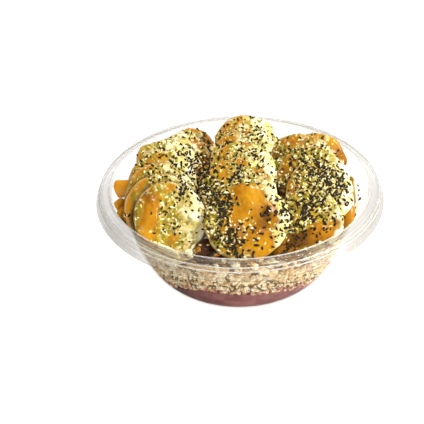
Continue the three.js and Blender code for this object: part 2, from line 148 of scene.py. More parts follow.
# Where a slice is only stained by sauce: the same.
GOLDEN = {
    "left_1": [(-0.55, 0.8, 0.3, 0.14, 0.7), (0.1, 0.8, 0.2, 0.1, 0.1), (-0.05, -0.5, 0.2, 0.1, 0.3)],
    "left_2": [(-0.98, 0.0, 0.25, 0.9, 0), (-0.5, 0.8, 0.5, 0.16, 0.6)],
    "left_3": [(-0.98, 0.0, 0.25, 0.9, 0), (-0.3, 0.9, 0.6, 0.14, 0.4)],
    "left_4": [(0.0, 0.74, 0.4, 0.14, 0.1), (-0.9, 0.3, 0.2, 0.6, 0.3)],
    "left_5": [(-0.9, 0.45, 0.16, 0.4, 0.5), (0.92, -0.1, 0.2, 0.35, 0)],
    "left_6": [(0.45, 0.7, 0.2, 0.14, -0.6), (0.85, 0.15, 0.3, 0.75, 0)],
    "left_7": [(0.2, 0.95, 0.45, 0.16, -0.2), (0.6, 0.5, 0.35, 0.4, 0)],
    "centre_1": [(-0.35, -0.15, 0.24, 0.2, 0), (-0.4, -0.65, 0.2, 0.12, 0.4),
                 (-0.4, 0.6, 0.2, 0.1, 0.4)],
    "centre_2": [(-0.5, 0.66, 0.3, 0.34, 0.5), (-0.01, 0.85, 0.26, 0.18, 0),
                 (0.6, 0.5, 0.24, 0.12, -0.6)],
    "centre_3": [(-0.6, 0.65, 0.26, 0.3, 0.5), (0.1, 0.9, 0.16, 0.12, 0)],
    "centre_4": [(-0.47, 0.6, 0.3, 0.3, 0.4), (0.1, 0.9, 0.16, 0.12, 0)],
    "centre_5": [(-0.2, 0.8, 0.3, 0.2, -0.2), (-0.55, 0.5, 0.22, 0.35, 0.5), (0.05, 0.4, 0.2, 0.12, 0)],
    "right_1": [(0.3, -0.12, 0.2, 0.14, 0.5)],
    "right_2": [(-0.85, 0.1, 0.25, 0.35, 0.7), (0.1, -0.55, 0.5, 0.2, 0.4)],
    "right_3": [(-0.75, 0.4, 0.3, 0.4, 0.5), (-0.95, 0.1, 0.2, 0.3, 0)],
    "right_4": [(-0.25, 0.76, 0.7, 0.26, 0.15)],
    "right_5": [(0.1, 0.8, 0.4, 0.2, 0.2)],
}
SAUCE_THICKNESS = 0.55
COAT_BEDDED = 0.5            # how far a coat of it reaches into its slice
COAT_FEATHER = 0.04          # how far its thinnest part stays below the slice's skin
COAT_TUCK = 0.25             # how far its border is tucked in
# How much browner a slice's sauce is: on right_1 partly painted shade; below 0 it is lighter, painted
# light.
BROWNER_SAUCE = {
    "right_1": 0.5, "right_2": 0.3, "right_3": 0.2, "right_4": 0.15,
    "left_2": -0.1, "left_3": 0.1, "left_4": 0.1,
}
# Where it is browner still, or brighter: centre and radius as shares of the slice, how brown. Spots
# below 0 are painted highlights on the sauce; on right_5 the golden top and the browner side are
# painted light and shade.
BROWN_SPOTS = {
    "left_1": [(-0.55, 0.8, 0.25, 1.0), (-0.78, 0.2, 0.2, 0.4), (-0.45, 0.2, 0.15, -0.5),
               (-0.7, -0.25, 0.2, -0.7)],
    "centre_1": [(0.47, 0.17, 0.18, 1.0), (0.38, -0.1, 0.15, 0.6), (0.2, -0.3, 0.15, 0.3),
                 (0.2, 0.6, 0.28, -0.7), (0.28, -0.62, 0.3, -0.6), (-0.1, 0.1, 0.25, -0.3)],
    "right_1": [(-0.6, -0.75, 0.5, 0.6), (-0.2, -0.5, 0.3, 0.45), (0.52, -0.12, 0.32, -1.0),
                (0.1, -0.42, 0.18, -0.35)],
    "right_4": [(0.0, 0.75, 0.15, 0.4)],
    "right_3": [(-0.95, 0.1, 0.25, 0.6)],
    "left_5": [(0.9, -0.1, 0.3, 0.6)],
    "left_6": [(0.85, 0.15, 0.4, 0.75)],
    "left_7": [(0.65, 0.35, 0.3, 0.5)],
    "centre_5": [(-0.15, 0.85, 0.3, -0.6)],
    "centre_2": [(-0.45, 0.68, 0.3, -0.3)],
    "left_4": [(0.1, 0.7, 0.3, -0.7)],
    "right_5": [(0.57, 0.71, 0.3, -1.0), (0.86, 0.0, 0.3, 0.35)],
}
# Slices that aren't round: where the corner is in degrees, how far it stands out, its spread.
CORNERS = {
    "left_5": (135, 0.13, 0.35),
    "right_4": (135, 0.07, 0.35),
    "centre_5": (40, 0.05, 0.4),
}
# How much more thin sauce has gathered at the bottom of these slices.
WET_BELOW = {"centre_1": 1.1, "right_1": 0.5, "left_2": 0.6}
# How much less thin sauce than the others these have; below 0 it is more.
BARER_SLICES = {
    "left_1": -0.1, "left_5": 0.5, "left_6": 0.6, "left_7": 0.9,
    "centre_1": -0.15, "centre_3": 0.2, "centre_4": 0.5, "centre_5": 0.5,
    "right_1": -0.3, "right_2": -0.25, "right_3": -0.45, "right_4": -0.1,
}

# Sauce that has run off the slices: centre, half sizes (side, along, through), degrees it faces
# up, degrees it is turned to the right, squareness, how brown it is.
SAUCE_LUMPS = (
    ((53.0, -33.0, 47.0), (3.0, 6.5, 2.0), 50, -30, 2.6, 0),
    ((49.5, -39.5, 44.5), (4.5, 4.0, 2.4), 60, -40, 2.6, 0.7),
    ((62.0, 2.5, 42.0), (1.6, 7.0, 1.6), 75, 0, 2.2, 0),
    ((22.0, -54.5, 43.0), (6.5, 4.5, 1.8), 80, 0, 2.2, 0.7),
    ((19.5, -44.0, 45.5), (3.5, 7.0, 2.4), 70, 0, 2.2, 0.8),
    ((58.9, 25.0, 47.6), (2.0, 6.0, 2.0), 50, 40, 2.4, 0.2),
    ((-11.0, -56.6, 44.0), (3.2, 1.0, 0.8), 60, 20, 2.2, 0.45),
    ((-19.0, -53.5, 44.2), (1.4, 2.2, 0.7), 60, 0, 2.2, 0.5),
    ((23.4, 12.0, 51.0), (4.0, 8.0, 3.0), 60, 0, 2.2, 0.9),
    ((22.6, -4.0, 49.5), (3.6, 9.0, 3.0), 60, 0, 2.2, 0.8),
    ((23.6, 24.0, 52.5), (4.0, 6.0, 3.0), 60, 0, 2.2, 0.6),
)
# The amber piece at the left, and the sauce that has run down beside it, in an amber lighter than the
# sauce's: partly the piece's own colour, partly painted light where they lie in shade.
AMBER_PIECE = ((-61.0, -4.0, 47.0), (6.2, 5.0, 2.0), 42, 4, 4)
AMBER_RUNS = (
    ((-61.8, -19.0, 44.5), (3.2, 7.0, 4.0), 80, -14, 2.4),
    ((-58.6, -28.5, 45.5), (3.2, 8.0, 4.4), 80, -28, 2.4),
    ((-52.6, -38.8, 45.5), (2.6, 6.5, 4.4), 80, -38, 2.4),
)
# Sauce smeared thinly over the inside of the wall, banana pressed against it, and dark acai on the
# granola in the gap between the front slices, nearly black as painted shade: the same without the
# brown.
SMEARS = (
    ((62.4, -4.0, 42.2), (1.4, 9.5, 2.6), 80, -4, 2.2),
    ((59.5, -24.0, 42.0), (2.0, 9.0, 3.6), 80, -22, 2.2),
)
BANANA_SMEARS = (
    ((-50.0, -33.0, 36.0), (6.0, 3.6, 1.2), 8, -57, 2.2),
    ((-41.5, -43.5, 37.0), (8.5, 5.0, 1.2), 8, -44, 2.2),
    ((-31.5, -51.3, 38.5), (6.5, 3.4, 1.2), 8, -31, 2.2),
    ((-56.5, -23.5, 38.0), (4.0, 4.0, 1.2), 8, -67, 2.2),
    ((-43.0, -46.0, 42.6), (8.0, 3.0, 1.3), 10, -43, 2.2),
    ((-33.5, -53.2, 43.4), (7.0, 3.0, 1.3), 10, -32, 2.2),
)
SHADED_ACAI_SMEARS = (
    ((-15.0, -57.0, 42.8), (6.5, 4.0, 1.7), 80, 6, 2.2),
    ((-15.5, -50.5, 43.6), (5.0, 4.5, 2.2), 74, 6, 2.2),
)
# The pieces made of such lumps: name, material, slot, lumps, unevenness of the first, step to the
# next one's, and whether seeds land on it.
LUMPY_PIECES = (
    ("amber_piece_painted_light", "amber", "nut_sauce", (AMBER_PIECE, *AMBER_RUNS), 0, 1.3, True),
    ("thin_smears", "smear", "nut_sauce", SMEARS, 0, 2.1, True),
    ("banana_smears", "pressed", "banana", BANANA_SMEARS, 0, 1.1, False),
    ("shaded_acai_smears", "acai_in_shade", "acai", SHADED_ACAI_SMEARS, 0.7, 1, True),
)
LUMP_STEP = 1.3              # how much the unevenness of sauce lumps differs
LUMP_RINGS = 22
LUMP_TURNS = 44

# Crumbs at the wall: name, material, how many, from and to as shares of the layer's height, least
# and greatest half size.
WALL_CRUMBS = (
    ("granola_crumbs", "crumbs", 3000, 0.0, 0.7, (0.55, 1.5)),
    ("granola_flakes", "crumbs", 620, 0.35, 1.0, (1.5, 3.2)),
    ("stained_crumbs", "stained", 1000, -0.06, 0.16, (0.5, 1.1)),
    ("granola_clusters", "clusters", 150, 0.4, 0.98, (2.2, 4.2)),
)
TOP_CRUMBS = 2600
TOP_CRUMB_HALF = (0.6, 2.6)
CRUMB_KINDS = 12
CRUMB_ROUGHNESS = 0.5
# How flat a crumb is at the wall and on top, both ways: least share of its length, and how much
# more it can be.
WALL_STRETCH = ((0.4, 0.5), (0.35, 0.4))
TOP_STRETCH = ((0.6, 0.4), (0.45, 0.4))
WALL_TILT = 1.1              # how freely crumbs lean at the wall and on top
TOP_TILT = 0.9
WALL_LOOKS_DOWN = 0.25       # how far the wall's outward side faces down
CRUMBS_BACK = 0.5            # how far crumbs can stay back from the wall
CRUMB_RAISED = 0.3           # how far crumbs on top stand out, as a share of their size
SCATTER_SEED = 11

BLACK_SEED = (1.08, 0.53, 0.4)   # half length, half width, half depth
BLACK_SIZES = (0.62, 1.05)
BLACK_RAISED = 0.15
BLACK_TILT = 0.7
WALL_SEED_SIZES = (1.15, 1.3)
WALL_SEED_TILT = 0.2
BLACK_COUNT = 1030           # that rain down evenly
BLACK_ON_SAUCE = 0.18        # share of those that would land on thick sauce
HEART_SIZE = (1.15, 0.7, 0.45)
HEART_TILT = 0.8
SEED_RAIN_WIDTHS = (118, 100)    # the area that seeds rain down on, and its middle
SEED_RAIN_MIDDLE = (-1, -14)
LOWEST_SEED = 43.8
LOWEST_IN_DRIFT = 42
DRIFT_TIGHTNESS = 0.6
RIM_FACING = -0.45           # a surface that faces the front less than this is a slice's rim
RIM_SHARE = 0.5              # of the seeds that would land on a rim, how many stay
DOWN = Vector((0, 0, -1))
DROP_HEIGHT = 90

# Black seeds that stuck to the wall: degrees from the front and height.
SEEDS_ON_WALL = (
    (89.4, 44.4), (85.3, 44.2), (77.3, 44.8), (91, 42.4), (95, 43.2), (82, 43.2), (71, 44.6),
    (63, 45.2),
)
SEED_OFF_WALL = 0.9          # how far their middles are from it, and how far they lean up
SEED_LEAN = 0.5

# Where few seeds fell: x, y, radius, share of them that stays.
BARE_ZONES = (
    (-45, -38, 9, 0.1), (-54, -27, 11, 0.1), (-15, -56, 6, 0.1), (-20, -41, 6, 0.4),
    (-30, -44, 13, 0.55), (-36, -32, 7, 0.4), (6, -44, 8, 0.5), (38, -47, 9, 0.3), (-50, 2, 8, 0.3),
    (-26, 20, 9, 0.35), (22, 2, 7, 0.3), (12, 30, 8, 0.5),
)
# Where black seeds have drifted together: x, y, spread, how many.
BLACK_DRIFTS = (
    (43, -19, 6, 34), (48, -25, 4, 10), (38, -27, 4, 24), (-9, -45, 5, 40), (-13, -38, 4, 6),
    (38, -44, 7, 26), (-34, -40, 8, 18), (-17, -24, 4, 34), (-18, 6, 4, 30), (-18.5, 20, 4, 22),
    (-12, -27, 5, 38), (-7.6, -41, 5, 60), (-1.3, -52, 3.5, 36), (0.5, -19.8, 4, 34),
    (-13.8, -18, 4, 18), (6.4, 0.7, 5, 12), (13, 16.5, 4, 12), (42, -18, 9, 150), (49, -23, 6, 50),
    (40, -10, 8, 50), (31, -38, 6, 50), (22, -42, 5, 40), (26.8, -46, 4, 30), (22, -54, 4, 26),
    (-32, -6, 5, 12), (-28, -8, 5, 14), (-23.5, -10, 4, 20), (-21, -13, 3.5, 24), (-27, 5, 5, 12),
    (-22, 3, 4, 18), (12.7, -44.6, 3, 16), (6, -54, 6, 24), (-10, -53, 4, 14), (-18.4, -27, 4, 20),
    (-16.3, -31, 4, 16), (-15, -40, 3, 6), (-21.5, -3, 4, 30), (-24, -5, 4, 16), (-6.8, -54, 3.5, 30),
    (36.5, -35, 5, 40), (33, -41, 4, 20), (32.5, -4.4, 5, 50), (51, 7, 5, 12), (-25, -30, 5, 16),
    (-13, -57, 3, 20),
)
# Where pale seeds have drifted together: the same.
PALE_DRIFTS = (
    (46, -22, 5, 60), (-14, -27, 5, 40), (44, -20, 6, 80), (36, -28, 5, 24), (-9, -44, 5, 20),
    (7, -47, 5, 10), (8, -54, 6, 14), (-10, -52, 5, 10), (42, -18, 9, 110), (49, -23, 6, 40),
    (-12, -27, 6, 40), (0.5, -19.8, 5, 20), (-4, -50, 6, 30), (36, -36, 8, 40),
)
# The hulled hearts: name, material, how many rain down evenly, share of those that would land on
# thick sauce, their drifts, least and greatest size.
HEARTS = (
    ("pale_seeds", "pale", 1000, 0.06, PALE_DRIFTS, (0.35, 0.9)),
    ("green_seeds", "green", 1100, 0.1, (), (0.35, 0.95)),
)


# ---- Mesh helpers ----------------------------------------------------------------------

def new_piece(name, mesh, material, replaced=(), smooth=True, masks=None):
    """A piece from (points in millimetres, faces), riding on the bowl; masks are values per
    point."""
    points, faces = mesh
    data = bpy.data.meshes.new(name)
    data.from_pydata([tuple(p) for p in (np.asarray(points, float) * MM)], [], faces)
    data.materials.append(material)
    for mask, values in (masks or {}).items():
        attribute = data.attributes.new(mask, "FLOAT", "POINT")
        attribute.data.foreach_set("value", np.asarray(values, np.float32))
    data.validate()
    data.polygons.foreach_set("use_smooth", [smooth] * len(data.polygons))
    data.update()
    piece = bpy.data.objects.new(name, data)
    bpy.context.scene.collection.objects.link(piece)
    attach(piece, "root")
    if replaced:
        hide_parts(*replaced)


def ring_faces(rings, turns, closed=False):
    """Four-sided faces between rings of points that follow each other."""
    faces = []
    last = rings if closed else rings - 1
    for k in range(last):
        low = k * turns
        high = ((k + 1) % rings) * turns
        for i in range(turns):
            j = (i + 1) % turns
            faces.append((low + i, low + j, high + j, high + i))
    return faces


def capped_rings(rings, turns, flipped=False):
    """Faces of a closed skin of rings, with a fan at each end round the two points that follow
    them."""
    faces = ring_faces(rings, turns)
    if flipped:
        faces = [tuple(reversed(f)) for f in faces]
    first, last = rings * turns, (rings - 1) * turns
    for i in range(turns):
        j = (i + 1) % turns
        a, b = (i, j) if flipped else (j, i)
        faces += [(first, a, b), (first + 1, last + b, last + a)]
    return faces


def joined(parts):
    """Several (points, faces) parts as one."""
    points, faces, start = [], [], 0
    for part_points, part_faces in parts:
        points.append(np.asarray(part_points, float))
        faces += [tuple(i + start for i in f) for f in part_faces]
        start += len(part_points)
    return np.concatenate(points), faces


def wobble(point, size, seed=0.0):
    """Smooth noise from -1 to 1 with features of about that size."""
    x, y, z = point
    return noise.noise(Vector((x / size + seed, y / size - seed, z / size + 3 * seed)))


def unevenness(points, *waves):
    """Noise at each point, summed over waves; each is how strong, how wide and where it starts."""
    return np.array([sum(strong * wobble(p, size, seed) for strong, size, seed in waves)
                     for p in points])


def smooth_step(low, high, value):
    """0 below low and 1 above high, with a soft rise between them."""
    share = np.clip((value - low) / (high - low), 0, 1)
    return share * share * (3 - 2 * share)


# ---- Bowl shape ------------------------------------------------------------------------

def eased(path, reach, steps=4):
    """The path with each inner corner rounded off over the given reach."""
    result = [path[0]]
    for before, corner, after in zip(path, path[1:], path[2:]):
        corner = np.array(corner, float)
        to_before = np.array(before) - corner
        to_after = np.array(after) - corner
        cut = min(reach, 0.45 * np.linalg.norm(to_before), 0.45 * np.linalg.norm(to_after))
        start = corner + to_before / np.linalg.norm(to_before) * cut
        end = corner + to_after / np.linalg.norm(to_after) * cut
        for i in range(steps + 1):
            t = i / steps
            result.append(tuple((1 - t) ** 2 * start + 2 * t * (1 - t) * corner + t * t * end))
    result.append(path[-1])
    return result


def side_path():
    """The steep side, from the foot up to the small step."""
    power = 2 / BODY_SQUARENESS
    path = []
    for i in range(BODY_STEPS + 1):
        angle = math.pi / 2 * i / BODY_STEPS
        height = WALL + (BODY_TOP - WALL) * (1 - math.cos(angle) ** power)
        reach = BODY_RADIUS - BODY_TAPER * (1 - height / BODY_TOP) - FOOT_OUTER
        path.append((FOOT_OUTER + reach * math.sin(angle) ** power, height))
    return path


def inside_path():
    """The food side of the sheet, from the axis to the edge of the skirt."""
    base = eased([(0, BASE_TOP), (RECESS_RADIUS, BASE_TOP), (FOOT_INNER, WALL),
                  (FOOT_OUTER, WALL)], BASE_EASE)
    rim = eased([(BODY_RADIUS, BODY_TOP), LEDGE, (MOUTH_RADIUS, RIM_HEIGHT),
                 (LAND_RADIUS, RIM_HEIGHT), SKIRT_CREASE, SKIRT_EDGE], RIM_EASE)
    return base[:-1] + side_path() + beaded(rim[1:])


def beaded(path):
    """The path in short steps, with a fine round bead at each of the bead radii."""
    path = np.array(path, float)
    length = np.append(0, np.cumsum(np.linalg.norm(np.diff(path, axis=0), axis=1)))
    along = np.linspace(0, length[-1], int(length[-1] / RIM_STEP))
    fine = np.stack([np.interp(along, length, path[:, k]) for k in (0, 1)], 1)
    for radius, height in BEADS:
        middle = along[int(np.argmin(abs(fine[:, 0] - radius)))]
        fine[:, 1] += height * np.exp(-((along - middle) / BEAD_WIDTH) ** 2)
    return [tuple(point) for point in fine]


def moved_sideways(path, distance):
    """The path moved to its right by a distance."""
    points = np.array(path, float)
    ahead = np.gradient(points, axis=0)
    ahead /= np.linalg.norm(ahead, axis=1)[:, None]
    moved = points + distance * np.stack([ahead[:, 1], -ahead[:, 0]], 1)
    moved[:, 0] = np.maximum(moved[:, 0], 0)
    return moved


INSIDE = np.array(inside_path())
MOUTH_INDEX = int(np.argmax(INSIDE[:, 1] >= RIM_HEIGHT - 0.05))
WALL_Z = np.maximum.accumulate(INSIDE[4:MOUTH_INDEX, 1])
WALL_R = INSIDE[4:MOUTH_INDEX, 0]


def wall_radius(height):
    """Inner radius of the bowl at a height; above the mouth it stays the mouth's."""
    return np.interp(height, WALL_Z[8:], WALL_R[8:])


def kept_in_bowl(points, clearance=0.25):
    """Points drawn in to the wall where they would pass through it."""
    points = np.array(points, float)
    radius = np.hypot(points[:, 0], points[:, 1])
    limit = wall_radius(points[:, 2]) - clearance
    share = np.where(radius > limit, limit / np.maximum(radius, 1e-6), 1)
    points[:, 0] *= share
    points[:, 1] *= share
    return points


def turned_ring(radius, height):
    """Points all round the bowl at a radius and height."""
    angles = 2 * math.pi * np.arange(BOWL_TURNS) / BOWL_TURNS
    heights = np.full(BOWL_TURNS, height)
    return np.stack([radius * np.sin(angles), -radius * np.cos(angles), heights], 1)


def make_bowl(material):
    """The sheet as one closed skin; its rim mask, which greys the rim with painted shade, fades towards
    the back.
    """
    outside = moved_sideways(INSIDE, WALL)
    outside[:, 1] = np.maximum(outside[:, 1], 0)
    outside[:, 0] = np.minimum(outside[:, 0], SKIRT_EDGE[0])
    profile = np.concatenate([outside[1:], INSIDE[:0:-1]])
    rings = [turned_ring(radius, height) for radius, height in profile]
    points = np.concatenate(rings + [[(0, 0, outside[0][1]), (0, 0, BASE_TOP)]])
    rim = smooth_step(MOUTH_RADIUS - 2, MOUTH_RADIUS, np.hypot(points[:, 0], points[:, 1]))
    rim *= 1 - RIM_SHADE_FADE * smooth_step(RIM_SHADE_FROM, RIM_SHADE_TO, points[:, 1])
    new_piece("clear_bowl", (points, capped_rings(len(profile), BOWL_TURNS)), material,
              ["bowl"], masks={"rim": rim})


def make_moulded_rings(material):
    """The fine rounded edges of the sheet, where it catches the light."""
    leans = [2 * math.pi * k / RING_SIDES for k in range(RING_SIDES)]
    faces = ring_faces(RING_SIDES, BOWL_TURNS, closed=True)
    parts = []
    for radius, height, half in MOULDED_RINGS:
        rings = [turned_ring(radius + half * math.cos(lean), height + half * math.sin(lean))
                 for lean in leans]
        parts.append((np.concatenate(rings), faces))
    new_piece("moulded_edges", joined(parts), material)


# ---- Layers ----------------------------------------------------------------------------

def round_the_wall(heights, angle):
    """A height at an angle, from heights evenly spaced round the wall."""
    place = (angle / (2 * math.pi) * len(heights)) % len(heights)
    index = int(place)
    blend = (1 - math.cos((place - index) * math.pi)) / 2
    return heights[index % len(heights)] * (1 - blend) + heights[(index + 1) % len(heights)] * blend


def layer_height(centre, wall_heights, ridge_height, radius, angle):
    """Top of a layer: even in the middle, uneven round the wall, banked up behind the rows."""
    outwards = min(radius / BODY_RADIUS, 1) ** 2
    x = radius * math.sin(angle)
    y = -radius * math.cos(angle)
    ridge_line = RIDGE_BACK - RIDGE_BEND * (x - RIDGE_MIDDLE) ** 2
    bank = ridge_height * math.exp(-((y - ridge_line) / RIDGE_WIDTH) ** 2) * (1 - outwards ** 2)
    return centre + (round_the_wall(wall_heights, angle) - centre) * outwards + bank


def acai_top(radius, angle):
    """Height of the acai's top at a place."""
    return layer_height(ACAI_CENTRE, ACAI_WALL, 0, radius, angle)


def granola_top(radius, angle):
    """Height of the granola's top at a place."""
    return layer_height(GRANOLA_CENTRE, GRANOLA_WALL, RIDGE_HEIGHT, radius, angle)


def on_circle(radius, angle, height):
    """A point at an angle from the front, to the right."""
    return (radius * math.sin(angle), -radius * math.cos(angle), height)


def acai_edge(angle):
    """Height of the acai where it meets the wall, with the granola pressed unevenly into it."""
    place = on_circle(ACAI_EDGE_RADIUS, angle, 0)
    uneven = acai_top(ACAI_EDGE_RADIUS, angle) + 0.9 * wobble(place, 9, 2.3)
    return uneven + 0.7 * wobble(place, 3.2, 5.1)


def acai_top_point(share, angle):
    """A point on the acai's top, that share of the way from the axis to its edge."""
    edge = acai_edge(angle)
    radius = share * float(wall_radius(edge))
    blend = share ** 2
    height = ACAI_CENTRE * (1 - blend) + edge * blend
    return on_circle(radius, angle, height + 0.4 * wobble(on_circle(radius, angle, 0), 8))


def make_acai(material):
    """Fills the bowl from its base to an uneven edge on the wall."""
    rings = []
    for k in range(ACAI_WALL_RINGS + 1):
        ring = []
        for angle in LAYER_ANGLES:
            share = k / ACAI_WALL_RINGS
            height = ACAI_BOTTOM + (acai_edge(angle) - ACAI_BOTTOM) * share
            ring.append(on_circle(float(wall_radius(height)) + PRESSED_IN, angle, height))
        rings.append(ring)
    for share in ACAI_TOP_RINGS:
        rings.append([acai_top_point(share, angle) for angle in LAYER_ANGLES])
    ends = [(0, 0, ACAI_BOTTOM), (0, 0, acai_top(0, 0))]
    points = np.array([p for ring in rings for p in ring] + ends)
    # Painted shade: darker towards the left side.
    deeper = ACAI_LEFT_SHADE * smooth_step(0, 40, -points[:, 0])
    new_piece("frozen_acai", (points, capped_rings(len(rings), LAYER_TURNS)), material,
              ["acai"], masks={"deeper": deeper})


# ---- Banana slices ---------------------------------------------------------------------

def slice_frame(place):
    """Axes to the side, along the face and out of it, and the centre of the face."""
    at, _, _, _, up, turn = place
    rise, swing = math.radians(up), math.radians(turn)
    side = Vector((math.cos(swing), math.sin(swing), 0))
    face = Vector((math.sin(swing) * math.cos(rise), -math.cos(swing) * math.cos(rise),
                   math.sin(rise)))
    along = face.cross(side)
    return np.array([side, along, face]), np.array(at, float)


def slice_profile(thick):
    """Rows across a slice from the face's middle round the edge to the back: share of the flat
    radius, width beyond it, depth, and the lean of the outward direction."""
    rows = [(k / SLICE_FACE_RINGS, 0.0, 0.0, 0.0) for k in range(1, SLICE_FACE_RINGS + 1)]
    for degrees in (18, 36, 54, 72, 90):
        lean = math.radians(degrees)
        rows.append((1, EDGE_ROUND * math.sin(lean), -EDGE_ROUND * (1 - math.cos(lean)), lean))
    for share in (0.25, 0.5, 0.75, 1):
        rows.append((1, EDGE_ROUND, -EDGE_ROUND - share * (thick - 2 * EDGE_ROUND), math.pi / 2))
    for degrees in (120, 150, 180):
        lean = math.radians(degrees)
        rows.append((1, EDGE_ROUND * math.sin(lean), -thick + EDGE_ROUND * (1 + math.cos(lean)), lean))
    for share in (0.7, 0.35):
        rows.append((share, 0, -thick, math.pi))
    return rows


SLICE_RINGS = len(slice_profile(1))


def slice_surface(name, phase):
    """Points, outward directions, face coordinates and centre of a slice."""
    place = SLICES[name]
    _, across, high, thick, _, _ = place
    axes, at = slice_frame(place)
    theta = 2 * math.pi * np.arange(SLICE_TURNS) / SLICE_TURNS
    outline = 1 + 0.018 * np.cos(2 * theta + phase) + 0.014 * np.cos(3 * theta + 2 * phase)
    outline += 0.006 * np.cos(7 * theta + 3 * phase)
    if name in CORNERS:
        corner, stands_out, spread = CORNERS[name]
        outline += stands_out * np.exp(-((theta - math.radians(corner)) / spread) ** 2)
    points, directions, flat = [], [], []
    for share, beyond, depth, lean in slice_profile(thick):
        wide = (share * (across - EDGE_ROUND) + beyond) * outline * np.cos(theta)
        tall = (share * (high - EDGE_ROUND) + beyond) * outline * np.sin(theta)
        dome = SLICE_DOME * (1 - share ** 2) if lean == 0 else 0
        local = np.stack([wide, tall, np.full(SLICE_TURNS, depth + dome)], 1)
        out = np.stack([math.sin(lean) * np.cos(theta), math.sin(lean) * np.sin(theta),
                        np.full(SLICE_TURNS, math.cos(lean))], 1)
        run = -depth * 0.9
        flat.append(np.stack([wide + run * np.cos(theta), tall + run * np.sin(theta)], 1))
        points.append(local @ axes + at)
        directions.append(out @ axes)
    points = np.concatenate(points)
    directions = np.concatenate(directions)
    flat = np.concatenate(flat)
    seed = 0.37 * phase
    lift = unevenness(points, (0.45, 6.5, seed), (0.25, 2.8, seed + 4))
    lift *= 1 - 0.7 * smooth_step(-0.2, 0.2, sauce_amount(name, points, flat, phase))
    return points + directions * lift[:, None], directions, flat, at


def inside_patches(patches, name, flat):
    """How deep inside the nearest of a slice's patches each point is: above 0 it is in one."""
    _, across, high, _, _, _ = SLICES[name]
    amount = np.full(len(flat), -1.0)
    for x, y, half_width, half_height, turn in patches.get(name, ()):
        dx = flat[:, 0] - x * across
        dy = flat[:, 1] - y * high
        along_x = (dx * math.cos(turn) + dy * math.sin(turn)) / (half_width * across)
        along_y = (-dx * math.sin(turn) + dy * math.cos(turn)) / (half_height * high)
        amount = np.maximum(amount, 1 - np.hypot(along_x, along_y))
    return amount


def sauce_amount(name, points, flat, phase):
    """How deep inside a patch of thick sauce each point is: above 0 it is covered."""
    uneven = unevenness(points, (0.34, 5.5, 9.1 + phase), (0.16, 2.2, 1.7))
    return inside_patches(SAUCE, name, flat) + uneven


def golden_amount(name, points, flat, phase):
    """How strongly each point is stained by sauce, with frayed edges."""
    frayed = unevenness(points, (0.5, 4.0, 3.3 + phase), (0.4, 1.6, 8.2))
    return smooth_step(-0.35, 0.45, inside_patches(GOLDEN, name, flat) + frayed)


def brownness(name, flat):
    """How brown the sauce on a slice is at each point, in places painted shade; below 0 it is brighter
    than elsewhere, a painted highlight.
    """
    _, across, high, _, _, _ = SLICES[name]
    brown = np.full(len(flat), BROWNER_SAUCE.get(name, 0.0))
    for x, y, radius, much in BROWN_SPOTS.get(name, ()):
        away = np.hypot(flat[:, 0] / across - x, flat[:, 1] / high - y) / radius
        brown += much * np.exp(-away ** 2)
    return np.clip(brown, -1, 1)


def film_of_sauce(name, points, flat, phase):
    """How much thin sauce wets each point, most on the left and least at the right edge, where the bare
    pale flesh is painted light, how far the colour of the thick sauce has spread, and where the thin
    sauce is deep."""
    clouds = unevenness(points, (0.8, 8, 2.2 + phase), (0.5, 3, 7.7))
    sideways = flat[:, 0] / SLICES[name][1]
    film = 0.85 - BARER_SLICES.get(name, 0) - 0.95 * sideways + 0.65 * clouds
    # Painted light: the right edge is left bare and pale, as if lit from the right.
    film -= 1.0 * smooth_step(0.6, 0.9, sideways)
    film += WET_BELOW.get(name, 0) * smooth_step(0.3, 0.9, -flat[:, 1] / SLICES[name][2])
    thick = smooth_step(-0.45, 0.05, sauce_amount(name, points, flat, phase))
    return np.clip(film, 0, 1), thick, smooth_step(1.2, 1.9, film)


def painted_seam_shade(name, surfaces):
    """Painted shade in the crevices: how close each point of a slice comes to its neighbours, 1 where
    they all but touch.
    """
    points, _, _, at = surfaces[name]
    faces = ring_faces(SLICE_RINGS, SLICE_TURNS)
    nearest = np.full(len(points), SEAM_SHADE_REACH)
    for other, (other_points, _, _, other_at) in surfaces.items():
        if other == name or np.linalg.norm(other_at - at) > SEAM_NEIGHBOURS:
            continue
        tree = BVHTree.FromPolygons([Vector(p) for p in other_points], faces)
        for i, point in enumerate(points):
            found = tree.find_nearest(Vector(point), nearest[i])
            if found[3] is not None:
                nearest[i] = min(nearest[i], found[3])
    return 1 - smooth_step(0.4, SEAM_SHADE_REACH, nearest)


def slice_masks(name, phase, surface, seam_shade):
    """What colours a slice: how wet, stained, sauced, grainy and brown each point is, with painted
    shade where it nears its neighbours and painted light on its right side.
    """
    points, _, flat, _ = surface
    _, across, _, thick, _, _ = SLICES[name]
    film, thick_sauce, deep = film_of_sauce(name, points, flat, phase)
    golden = golden_amount(name, points, flat, phase)
    leans = np.repeat([lean for *_, lean in slice_profile(thick)], SLICE_TURNS)
    sideways = flat[:, 0] / across
    # Painted light: grain, rim and side colours fade out on the right side.
    right = smooth_step(0.2, 0.7, sideways)
    grain = 0.95 - 0.85 * smooth_step(0.4, 0.8, sideways)
    edge = 0.4 * smooth_step(0.1, 0.6, leans)
    side = smooth_step(0.9, 1.5, leans) - 0.7 * smooth_step(2.0, 2.6, leans)
    masks = {"film": film, "deep": deep, "sauce": thick_sauce, "golden": golden,
             "grain": grain * (1 - 0.8 * golden), "edge": edge * (1 - 0.8 * right),
             "side": side * (1 - 0.85 * right), "seam_shade": seam_shade, "brown": brownness(name, flat)}
    return {mask: np.append(values, [0.5, 0.5]) for mask, values in masks.items()}


